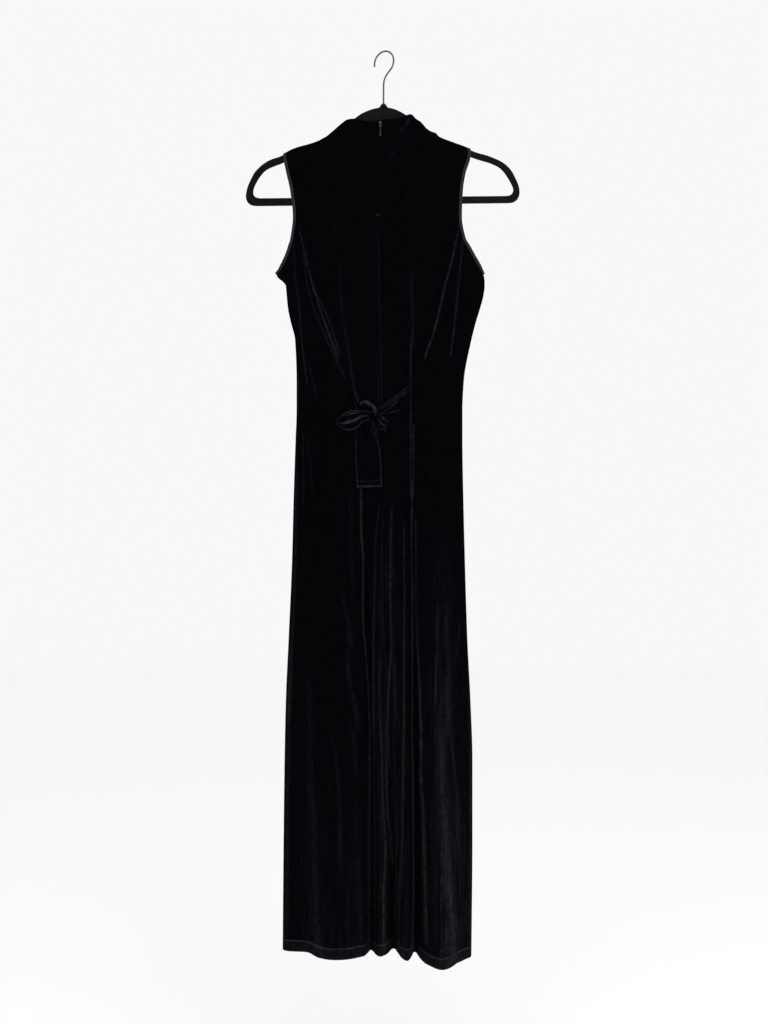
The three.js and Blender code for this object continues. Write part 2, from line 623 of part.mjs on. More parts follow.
// Back panels and front panel
add("back_side_left", panelSolid(BACK, backSideLeft, 13), velvet());
add("back_center_left", panelSolid(BACK, backCenterLeft, 9), velvet());
add("back_center_right", panelSolid(BACK, backCenterRight, 9), velvet());
add("back_side_right", panelSolid(BACK, backSideRight, 12), velvet());
add("front", panelSolid(FRONT, frontWhole, 20), velvet());

// Armhole bindings
add("armhole_binding_left", bindingSolid(backSideLeft, 0, -1), bindingCloth());
add("armhole_binding_right", bindingSolid(backSideRight, 1, 1), bindingCloth());

// Zip tape behind the centre back seam
const tapeSurface = (u, v) => {
  const z = mix(upperEdge(seamLine.centre(-112)) - 5, upperEdge(seamLine.centre(-112)) - ZIP_LENGTH, u);
  return liftedPoint(seamLine.centre(z) + (v - 0.5) * ZIP_TAPE_WIDTH, z, -WALL - 0.8);
};
add("zip_tape", clothSolid(tapeSurface, 14, 4, 0.8, () => vector(0, -1, 0)), tapeCloth());

// Tie straps, sewn into the princess seams at the waist
const outwardBack = () => vector(0, -1, 0);
const strapLeft = stripSurface(
  [[-45.6, -552.6], [-39.1, -569.7]],
  [[-51.3, -561.5], [-44.8, -578.6]],
  (u, v) => 1.2 + 2.4 * u + 1.0 * Math.sin(Math.PI * v) ** 2,
);
add("tie_strap_left", clothSolid(strapLeft, 6, 4, 1.2, outwardBack), velvet());
const strapRight = stripSurface(
  [[41.6, -543.6], [18.7, -561.5], [-4.1, -579.5]],
  [[41.6, -585.2], [18.7, -588.4], [-0.8, -592.5]],
  (u, v) => 1.2 + 2.6 * u * u + 0.9 * u * Math.sin(3 * Math.PI * v) ** 2,
);
add("tie_strap_right", clothSolid(strapRight, 9, 8, 1.2, outwardBack), velvet());

// Tails of the bow, hanging one behind the other
const tailBack = stripSurface(
  [[-29.3, -598.5], [-40.8, -619.4], [-39.9, -653.6], [-38.3, -694.4]],
  [[-12.6, -598.0], [-11.6, -619.4], [-9.6, -653.6], [-8.1, -694.4]],
  (u, v) => 1.2 + 0.8 * Math.sin(2 * Math.PI * v) ** 2 * (1 - 0.5 * u),
);
add("tie_tail_back", clothSolid(tailBack, 7, 6, 1.2, outwardBack), velvet());
const tailFront = stripSurface(
  [[-32.6, -598.0], [-46.9, -619.4], [-46.5, -653.6], [-43.7, -709.0]],
  [[-15.9, -598.0], [-14.7, -619.4], [-6.2, -653.6], [-3.1, -709.0]],
  (u, v) => 3.6 + 1.4 * Math.sin(2.4 * Math.PI * v + 0.5) ** 2 * (1 - 0.4 * u),
);
add("tie_tail_front", clothSolid(tailFront, 8, 8, 1.2, outwardBack), velvet());

// Loops of the bow and the knot
add("tie_loop_left", loopSolid(
  [[-18.6, -590.5], [-39.9, -586.3], [-53.0, -587.1], [-66.0, -594.9], [-75.0, -600.3]],
  [[-22.5, -602.2], [-39.4, -605.7], [-48.9, -616.1], [-62.8, -616.1], [-73.3, -608.8]],
  6.6, 3.2, 1.6,
), velvet());
add("tie_loop_right", loopSolid(
  [[-11.4, -592.5], [-0.8, -597.4], [4.4, -603.6]],
  [[-12.0, -599.5], [-4.9, -614.5], [1.8, -613.9]],
  5.6, 3, 0.6,
), velvet());
const knotPath = [[-39.0, -577.0], [-34.2, -573.1], [-28.5, -573.4], [-22.0, -576.4], [-16.6, -581.9], [-13.9, -588.4], [-13.9, -594.9]]
  .map(([x, z]) => liftedPoint(x, z, 5));
add("tie_knot", rollSolid(knotPath, [1.6, 2.8, 3.2, 3.4, 3.4, 3.2, 1.8], [2.2, 3.4, 4, 4.2, 4.2, 3.8, 2.4]), velvet());

// Zip slider: a small block with an arch on it; the pull tab hangs in the arch
const wasm = await Module();
wasm.setup();
function toSolid(geometry) {
  const bare = geometry.clone();
  bare.deleteAttribute("normal");
  bare.deleteAttribute("uv");
  const merged = mergeVertices(bare, 1e-4);
  return new wasm.Manifold(new wasm.Mesh({
    numProp: 3,
    vertProperties: new Float32Array(merged.attributes.position.array),
    triVerts: new Uint32Array(merged.index.array),
  }));
}
function toGeometry(solid) {
  const mesh = solid.getMesh();
  const geometry = new THREE.BufferGeometry();
  geometry.setAttribute("position", new THREE.BufferAttribute(new Float32Array(mesh.vertProperties), 3));
  geometry.setIndex(new THREE.BufferAttribute(new Uint32Array(mesh.triVerts), 1));
  geometry.computeVertexNormals();
  return geometry;
}
function plate(outline, holes, depth) {
  const shape = new THREE.Shape(outline.map(([a, b]) => new THREE.Vector2(a, b)));
  for (const hole of holes) shape.holes.push(new THREE.Path(hole.map(([a, b]) => new THREE.Vector2(a, b))));
  const geometry = new THREE.ExtrudeGeometry(shape, { depth, bevelEnabled: false });
  return geometry.translate(0, 0, -depth / 2);
}
const SLIDER_X = -5.9;
const PULL_AXIS_Z = -121;
const sliderBack = -clothDepth(BACK, SLIDER_X, -116.5) - 0.5;
const SLIDER_DEPTH = 2.2;
const PULL_AXIS_Y = sliderBack - SLIDER_DEPTH - 1.1;
const blockShape = [[-2.1, -5], [-1.5, -5.6], [1.5, -5.6], [2.1, -5], [2.7, 2.6], [1.9, 4], [-1.9, 4], [-2.7, 2.6]];
const block = plate(blockShape, [], SLIDER_DEPTH);
block.rotateX(Math.PI / 2).translate(SLIDER_X, sliderBack - SLIDER_DEPTH / 2, PULL_AXIS_Z);
const archSide = [[0.4, -2.3], [-2.05, -2.3], [-2.5, -1.6], [-2.5, 1.6], [-2.05, 2.3], [0.4, 2.3]];
const archHole = [[0, -1.15], [0, 1.15], [-1.75, 1.15], [-1.75, -1.15]];
const arch = plate(archSide, [archHole], 1.8);
const archMatrix = new THREE.Matrix4().set(
  0, 0, 1, SLIDER_X,
  1, 0, 0, sliderBack - SLIDER_DEPTH,
  0, 1, 0, PULL_AXIS_Z,
  0, 0, 0, 1,
);
arch.applyMatrix4(archMatrix);
add("zip_slider", toGeometry(toSolid(block).add(toSolid(arch))), zipMetal());
const pullShape = [
  [-2.2, 0.5], [2.2, 0.5], [2.2, -3.4], [1.5, -5.2], [1.3, -9], [1.8, -18.5], [1.2, -20.6], [0, -21.2],
  [-1.2, -20.6], [-1.8, -18.5], [-1.3, -9], [-1.5, -5.2], [-2.2, -3.4],
];
const pullHole = [[-1.25, -0.5], [-1.25, -3.2], [1.25, -3.2], [1.25, -0.5]];
const pull = plate(pullShape, [pullHole], 1);
pull.rotateX(Math.PI / 2).translate(SLIDER_X, PULL_AXIS_Y, PULL_AXIS_Z);
add("zip_pull", toGeometry(toSolid(pull)), zipMetal());

// Hanger: one flocked plate with rounded edges, its arms and bar round an open window
const armLine = (x) => upperEdge(x) - ARM_UNDER_CLOTH;
const armTop = [];
for (const x of [-165.4, -156, -147.5, -130, -111.7, -103]) armTop.push([x, armLine(x)]);
armTop.push([-95.4, -142], [-88, -138.4]);
const domeTop = [
  [-80.7, -134.2], [-70.9, -127.1], [-59.5, -119.8], [-51.3, -111.3], [-44.8, -105.9], [-38.3, -101.1],
  [-28.5, -96.2], [-15.5, -91.8], [-0.8, -89.6], [13.9, -91.6], [25.3, -96.2], [35.0, -101.9],
  [39.9, -105.9], [46.5, -111.5], [54.6, -120.0], [66.0, -129.8], [77.4, -136.4],
];
const armTopRight = [[85, -139.8], [91, -142.4]];
for (const x of [100, 111.7, 122, 132.8, 141]) armTopRight.push([x, armLine(x)]);
const leftEnd = [
  [-209.5, -251.0], [-217.6, -249.4], [-223.3, -244.5], [-225.8, -236.3], [-224.1, -224.9], [-220.9, -215.2],
  [-216.0, -205.4], [-211.1, -195.6], [-201.3, -185.8], [-194.8, -180.9], [-186.6, -176.0], [-178.5, -173.2],
  [-172, -171.3],
];
const rightEnd = [
  [148, -162.9], [155.7, -165.4], [163.8, -167.3], [172.0, -170.0], [180.1, -173.3], [188.3, -176.7],
  [196.4, -181.6], [204.6, -189.1], [209.5, -195.6], [213.5, -203.8], [217.6, -211.9], [220.9, -221.7],
  [221.4, -231.5], [218.4, -239.6], [212.7, -244.5], [206.2, -246.1],
];
const hangerOutline = [...leftEnd, ...armTop, ...domeTop, ...armTopRight, ...rightEnd];
const hangerWindow = [
  [-205, -238.4], [-211.5, -235.5], [-213.5, -229.8], [-212.7, -223.3], [-209.5, -215.2], [-202.9, -203.8],
  [-194.8, -194.0], [-186.6, -189.1], [-178.5, -185.8], [-168.7, -182.4], [-147.5, -172.5], [-111.7, -160.8],
  [-80, -153.5], [-45, -149], [0, -147.5], [45, -149], [78, -153.5], [111.7, -160.8], [132.8, -167.6],
  [148, -173.6], [162.2, -178.0], [172.0, -180.6], [180.1, -184.2], [188.3, -188.3], [194.8, -194.8],
  [201.3, -203.8], [207.8, -215.2], [211.1, -223.3], [210.3, -228.2], [207.5, -232.6], [202, -234.6],
];
// A flat plate with rounded edges, from its outline and its window in x, z.
function roundedPlate(outline, window) {
  const turned = (points, sign) => (Math.sign(THREE.ShapeUtils.area(points)) === sign ? points : [...points].reverse());
  const loops = [
    turned(outline.map(([x, z]) => new THREE.Vector2(x, z)), 1),
    turned(window.map(([x, z]) => new THREE.Vector2(x, z)), -1),
  ];
  const inset = (loop, amount) => loop.map((point, i) => {
    const before = loop[(i + loop.length - 1) % loop.length];
    const after = loop[(i + 1) % loop.length];
    const a = point.clone().sub(before).normalize();
    const b = after.clone().sub(point).normalize();
    const inward = new THREE.Vector2(-a.y - b.y, a.x + b.x).normalize();
    const reach = amount / Math.max(0.5, inward.dot(new THREE.Vector2(-a.y, a.x)));
    return point.clone().addScaledVector(inward, reach);
  });
  const half = HANGER_THICKNESS / 2;
  const layers = [[-half, HANGER_ROUND], [-half + 0.7, 0.7], [-half + HANGER_ROUND, 0]];
  layers.push(...layers.map(([y, amount]) => [-y, amount]).reverse());
  const positions = [];
  const faces = [];
  const starts = [];
  for (const [y, amount] of layers) {
    starts.push(positions.length / 3);
    for (const loop of loops) {
      for (const p of inset(loop, amount)) positions.push(p.x, y, p.y);
    }
  }
  let first = 0;
  for (const loop of loops) {
    for (let k = 0; k < layers.length - 1; k++) {
      for (let i = 0; i < loop.length; i++) {
        const j = (i + 1) % loop.length;
        const a = starts[k] + first + i;
        const b = starts[k] + first + j;
        const c = starts[k + 1] + first + j;
        const d = starts[k + 1] + first + i;
        faces.push(a, b, c, a, c, d);
      }
    }
    first += loop.length;
  }
  const face = loops.map((loop) => inset(loop, HANGER_ROUND));
  const top = starts[layers.length - 1];
  for (const [a, b, c] of THREE.ShapeUtils.triangulateShape(face[0], [face[1]])) {
    faces.push(a, c, b);
    faces.push(top + a, top + b, top + c);
  }
  return facingOut(positions, faces);
}
const hangerBody = roundedPlate(hangerOutline, hangerWindow);
add("hanger_body", hangerBody, flock());

// Collar at the foot of the hook
const collarProfile = [[0, -89.4], [6.1, -89.4], [5.4, -87.6], [3.2, -85.6], [2.4, -83.6], [0, -83.6]];
const collar = new THREE.LatheGeometry(collarProfile.map(([r, z]) => new THREE.Vector2(r, z)), 16);
collar.rotateX(Math.PI / 2).translate(-0.8, 0, 0);
add("hook_collar", collar, flock());

// Hook: a bent wire, turned a little out of the plane of the hanger
const hookPoints = [
  [-0.9, -83.4], [-0.9, -66], [-0.6, -52], [0.6, -45.5], [3.4, -40], [7.2, -35.4], [11.6, -31.4],
];
for (let angle = -40; angle <= 205; angle += 12.25) {
  const turn = THREE.MathUtils.degToRad(angle);
  hookPoints.push([HOOK_RADIUS * Math.cos(turn), HOOK_WIRE - HOOK_RADIUS + HOOK_RADIUS * Math.sin(turn)]);
}
const hookTurn = THREE.MathUtils.degToRad(HOOK_TURN);
const hookPath = new THREE.CatmullRomCurve3(hookPoints.map(([s, z]) =>
  vector(s * Math.cos(hookTurn), -s * Math.sin(hookTurn), z)));
const hookRings = [];
const hookSide = vector(Math.sin(hookTurn), Math.cos(hookTurn), 0);
for (let i = 0; i <= 36; i++) {
  const along = hookPath.getTangentAt(i / 36);
  const up = hookSide.clone().cross(along).normalize();
  const radius = i === 36 ? HOOK_WIRE * 0.6 : HOOK_WIRE;
  const ring = [];
  for (let j = 0; j < 8; j++) {
    const angle = (2 * Math.PI * j) / 8;
    ring.push(hookPath.getPointAt(i / 36)
      .addScaledVector(hookSide, radius * Math.cos(angle))
      .addScaledVector(up, radius * Math.sin(angle)));
  }
  hookRings.push(ring);
}
add("hanger_hook", solidFromRings(hookRings, false), chrome());

export default group;
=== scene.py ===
"""A sleeveless black stretch velvet maxi dress, seen from its back, on a slim flocked hanger.

The dress is one flattened tube of cloth. At each level its side edges and seams are given in tables,
and the cloth stands off the middle plane by edge gap + (depth - gap) * (1 - w**3.2)**0.5, where w runs
from 0 at the middle to 1 at the side. Folds add height * exp(-(distance / width)**2) along lines that run
down the cloth. At the shoulders the cloth turns over the hanger in a quarter circle, and at the neck it
stands open as an ellipse. Seams, hem and creases are small dips added to the same depth.
Lengths in the tables are millimetres; meshes are metres. The back of the dress faces -Y.
"""

import math

import bpy
import numpy as np
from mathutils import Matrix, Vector
from mathutils.geometry import tessellate_polygon


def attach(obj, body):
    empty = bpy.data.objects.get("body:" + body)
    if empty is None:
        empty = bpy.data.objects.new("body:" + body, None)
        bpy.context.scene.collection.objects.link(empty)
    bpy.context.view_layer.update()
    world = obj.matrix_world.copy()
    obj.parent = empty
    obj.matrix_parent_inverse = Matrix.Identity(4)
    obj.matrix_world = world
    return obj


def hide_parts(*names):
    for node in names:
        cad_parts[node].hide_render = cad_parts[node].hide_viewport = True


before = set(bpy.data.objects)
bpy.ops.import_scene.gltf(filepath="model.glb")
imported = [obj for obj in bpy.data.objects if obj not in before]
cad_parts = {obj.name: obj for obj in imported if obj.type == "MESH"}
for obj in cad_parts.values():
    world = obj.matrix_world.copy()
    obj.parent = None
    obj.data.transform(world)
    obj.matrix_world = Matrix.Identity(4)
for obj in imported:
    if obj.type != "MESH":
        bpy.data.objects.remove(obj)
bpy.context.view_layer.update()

scene = bpy.context.scene

# Dress body: four back panels joined by a centre seam and two princess seams, and one front panel.
# Real panels are cut from one stretch velvet and joined by an overlocker; the shells here follow the
# tube formula above, with the folds, the seam dips and the stitched hem pressed into them.

# level, left edge, right edge
EDGES = np.array([
    (-97.8, -154.0, 132.8),
    (-138.5, -157.3, 134.5),
    (-166.3, -159.4, 136.6),
    (-195.6, -154.5, 128.4),
    (-224.9, -148.0, 123.6),
    (-268.9, -143.4, 121.9),
    (-303.2, -148.0, 128.4),
    (-322.7, -152.9, 138.2),
    (-342.3, -161.0, 149.5),
    (-352.0, -166.5, 155.5),
    (-358.0, -171.2, 159.6),
    (-362.5, -175.4, 162.0),
    (-366.0, -174.6, 163.2),
    (-371.0, -169.3, 163.9),
    (-376.0, -163.3, 164.3),
    (-381.0, -160.3, 164.3),
    (-396.1, -158.9, 162.5),
    (-417.3, -156.8, 157.0),
    (-440.1, -152.1, 150.0),
    (-469.4, -145.1, 142.6),
    (-534.6, -142.6, 130.4),
    (-583.5, -142.6, 128.0),
    (-632.4, -144.3, 128.0),
    (-730.2, -147.5, 129.6),
    (-828.0, -150.0, 132.0),
    (-958.4, -155.7, 136.1),
    (-1056.2, -160.1, 141.0),
    (-1154.0, -162.2, 144.3),
    (-1284.4, -163.8, 144.3),
    (-1471.9, -165.4, 142.6),
])
# level, left princess seam, centre seam, right princess seam
SEAMS = np.array([
    (-97.8, -90.5, -4.9, 80.7),
    (-133.7, -87.2, -7.0, 76.9),
    (-184.2, -83.4, -9.3, 71.0),
    (-241.2, -79.1, -10.2, 64.4),
    (-306.4, -75.3, -9.8, 55.0),
    (-376.5, -71.1, -8.3, 46.5),
    (-428.7, -67.2, -7.1, 46.0),
    (-493.9, -58.7, -5.7, 44.0),
    (-554.2, -48.1, -4.4, 43.3),
    (-632.4, -42.4, -3.1, 44.0),
    (-712.3, -38.3, -1.9, 44.8),
    (-823.1, -34.2, -0.2, 45.3),
    (-958.4, -30.2, 2.8, 46.0),
    (-1056.2, -25.7, 5.7, 46.4),
    (-1154.0, -23.3, 9.6, 46.8),
    (-1284.4, -22.5, 18.7, 47.7),
    (-1382.2, -22.1, 18.7, 48.3),
    (-1471.9, -21.7, 17.1, 48.9),
])
# across, height of the upper edge
UPPER_EDGE = np.array([
    (-186.6, -176.0),
    (-165.4, -166.3),
    (-147.5, -157.3),
    (-111.7, -146.7),
    (-95.4, -138.5),
    (-80.7, -128.0),
    (-69.3, -119.0),
    (-59.5, -113.0),
    (-51.3, -112.0),
    (-26.9, -116.5),
    (-0.8, -114.1),
    (25.3, -111.3),
    (43.2, -105.0),
    (47.5, -107.2),
    (51.3, -111.4),
    (55.5, -113.9),
    (59.5, -116.3),
    (64.5, -121.4),
    (69.3, -126.3),
    (77.0, -130.8),
    (84.0, -132.6),
    (90.5, -138.3),
    (111.7, -146.7),
    (132.8, -154.2),
    (142.6, -158.4),
    (163.8, -167.1),
])
# across, height of the hem
HEM = np.array([
    (-165.4, -1462.1),
    (-124.7, -1458.8),
    (-105.1, -1465.9),
    (-85.6, -1468.6),
    (-54.6, -1465.4),
    (-31.8, -1462.9),
    (-10.6, -1462.1),
    (10.6, -1460.5),
    (22.0, -1465.4),
    (38.3, -1468.6),
    (49.7, -1465.4),
    (57.9, -1468.6),
    (67.6, -1475.1),
    (90.5, -1480.5),
    (106.8, -1478.4),
    (123.1, -1473.5),
    (142.6, -1473.5),
])
# level, back depth, front depth
DEPTHS = np.array([
    (-105, 15, 15),
    (-126, 12, 12),
    (-140, 10, 11),
    (-184, 10.5, 11),
    (-241, 12, 13),
    (-300, 14.5, 16),
    (-360, 17, 20),
    (-437, 18, 21),
    (-551, 14, 16),
    (-665, 16, 19),
    (-828, 20, 23),
    (-1056, 24, 27),
    (-1301, 27, 30),
    (-1481, 28, 32),
])
# level, edge gap, how far the edge curls round to the side seam
ARMHOLE = np.array([
    (-97, 5.7, 0),
    (-262, 5.7, 0),
    (-303, 4.4, 0.1),
    (-343, 2.2, 1),
    (-361.0, 0, 1),
    (-1481, 0, 1),
])
# Folds of the back: the seam that each follows, level from, level to, across at its start, across at its end,
# bend, width, width low, height, height low, length of its fade
BACK_FOLDS = [
    ("left", -733, -1500, 0.4, 0.8, 0, 4.2, 6.5, -2, -26, 120),  # groove of left seam
    ("left", -690, -1330, -4.5, -6.5, 0, 4.5, 7, 2.5, 3, 90),  # roll left of left seam
    (None, -720, -1180, -10.6, -15.5, -2.5, 4, 5, 2, 2, 90),  # short fold off left seam
    (None, -960, -1500, -6.5, -5, 1, 6, 8.5, 1.5, 7, 120),  # left pipe
    (None, -800, -1500, 8, 17.5, -1, 5.5, 8, -2.5, -33, 160),  # recess beside centre seam
    (None, -740, -1500, 32, 37.5, -3.5, 5, 8, 1.5, 8, 110),  # right pipe
    ("right", -600, -1500, 0.6, 1.4, 0, 3.8, 5.8, -1.5, -25, 100),  # groove of right seam
    (None, -745, -1215, 50, 60, 0.5, 4, 4.5, 2, 2.5, 80),  # roll right of right seam
    (None, -850, -1500, 90, 98, -3, 20, 25, 2, 20, 180),  # broad right swell
    (None, -880, -1090, 84, 80, 0, 5, 5, 2, 2, 60),  # narrow right ridge
    (None, -880, -1500, 121, 126, 0, 7, 8, 2, 3, 100),  # right edge ridge
    (None, -700, -1500, -48, -58, -3, 13, 26, 2, 9, 150),  # broad left swell
    (None, -1150, -1500, -115, -104, 0, 18, 20, 2, 4, 120),  # outer left swell
    (None, -1120, -1370, -77, -68, 0, 8, 8, -2.5, -2.5, 80),  # thin left hollow
    (None, -293, -505, -137.7, -74.7, -5, 7, 8, 3.2, 2.4, 60),  # left bust pull
    (None, -300, -545, -147, -124.7, -1.5, 6, 6, 2.4, 1.6, 60),  # left side pull
    (None, -385, -500, -115, -71, 0, 6, 6, 2, 1.8, 40),  # left inner pull
    (None, -272, -505, 125, 66, 3.5, 7.5, 8, 4.2, 3, 60),  # right bust pull
    (None, -300, -500, 129, 108.4, 3, 6, 6, 2.4, 2, 60),  # right side pull
    ("right", -320, -500, 0, 0, 0, 6, 5, 1.8, 1.4, 50),  # swell on right seam
    (None, -109, -140, 40, 25, 0, 4.5, 4.5, -2.4, -1.6, 9),  # neck crease
    (None, -112, -165, 59.5, 45, 0, 5, 7, 2.4, 1.2, 12),  # first neck bump
    (None, -126, -180, 83, 62, 0, 5, 7, 2, 1, 14),  # second neck bump
    (None, -122, -160, -66, -56, 0, 5, 6, -1.6, -1, 14),  # left neck crease
]
# Folds of the front, in the same columns
FRONT_FOLDS = [
    (None, -290, -520, -134, -70, -5, 8, 9, 3, 2, 60),  # left bust drape
    (None, -285, -510, 122, 62, 5, 8, 9, 3, 2, 60),  # right bust drape
    (None, -125, -210, -30, 20, 2, 9, 9, 1.8, 1.2, 30),  # neck drape
    (None, -760, -1500, -96, -104, 2, 15, 20, 2, 10, 160),  # far left pipe
    (None, -640, -1500, -38, -50, 4, 12, 15, 2, 13, 160),  # left pipe
    (None, -700, -1500, -66, -78, 2, 7, 9, -1.5, -12, 160),  # left hollow
    (None, -720, -1500, -8, -14, -2, 8, 10, -1.5, -13, 160),  # middle hollow
    (None, -690, -1500, 26, 24, 3, 12, 16, 2, 11, 160),  # right pipe
    (None, -810, -1500, 58, 62, -2, 8, 10, -1.5, -14, 160),  # right hollow
    (None, -760, -1500, 88, 98, 3, 13, 17, 2, 9, 160),  # far right pipe
]
# Levels, and the heights over which the cloth turns over the hanger and opens at the neck
UNDERARM, CAP, NECK_REACH = -361.0, 5.7, 14.0
FIRST_TOP, FIRST_HEM, MEAN_HEM, RUNS_OFF_HEM = -130.0, -1465.0, -1466.0, -1490.0
NECK_MIDDLE, NECK_HALF, FRONT_NECK_DROP = -2.5, 93.0, 9.0
SEAM, SEAM_DIP, SEAM_DIP_WIDTH = 0.02, 0.8, 1.3
CLOTH_THICKNESS, HEM_DEPTH, HEM_TURN = 1.0, 15.5, 1.3
# Rows of a panel's mesh in the hem, up to the underarm, up to the shoulder, and over the top edge; steps of
# the turned up hem; waves in the cloth's unevenness
PANEL_ROWS, HEM_STEPS, WAVES = (18, 226, 100, 14), 7, 7

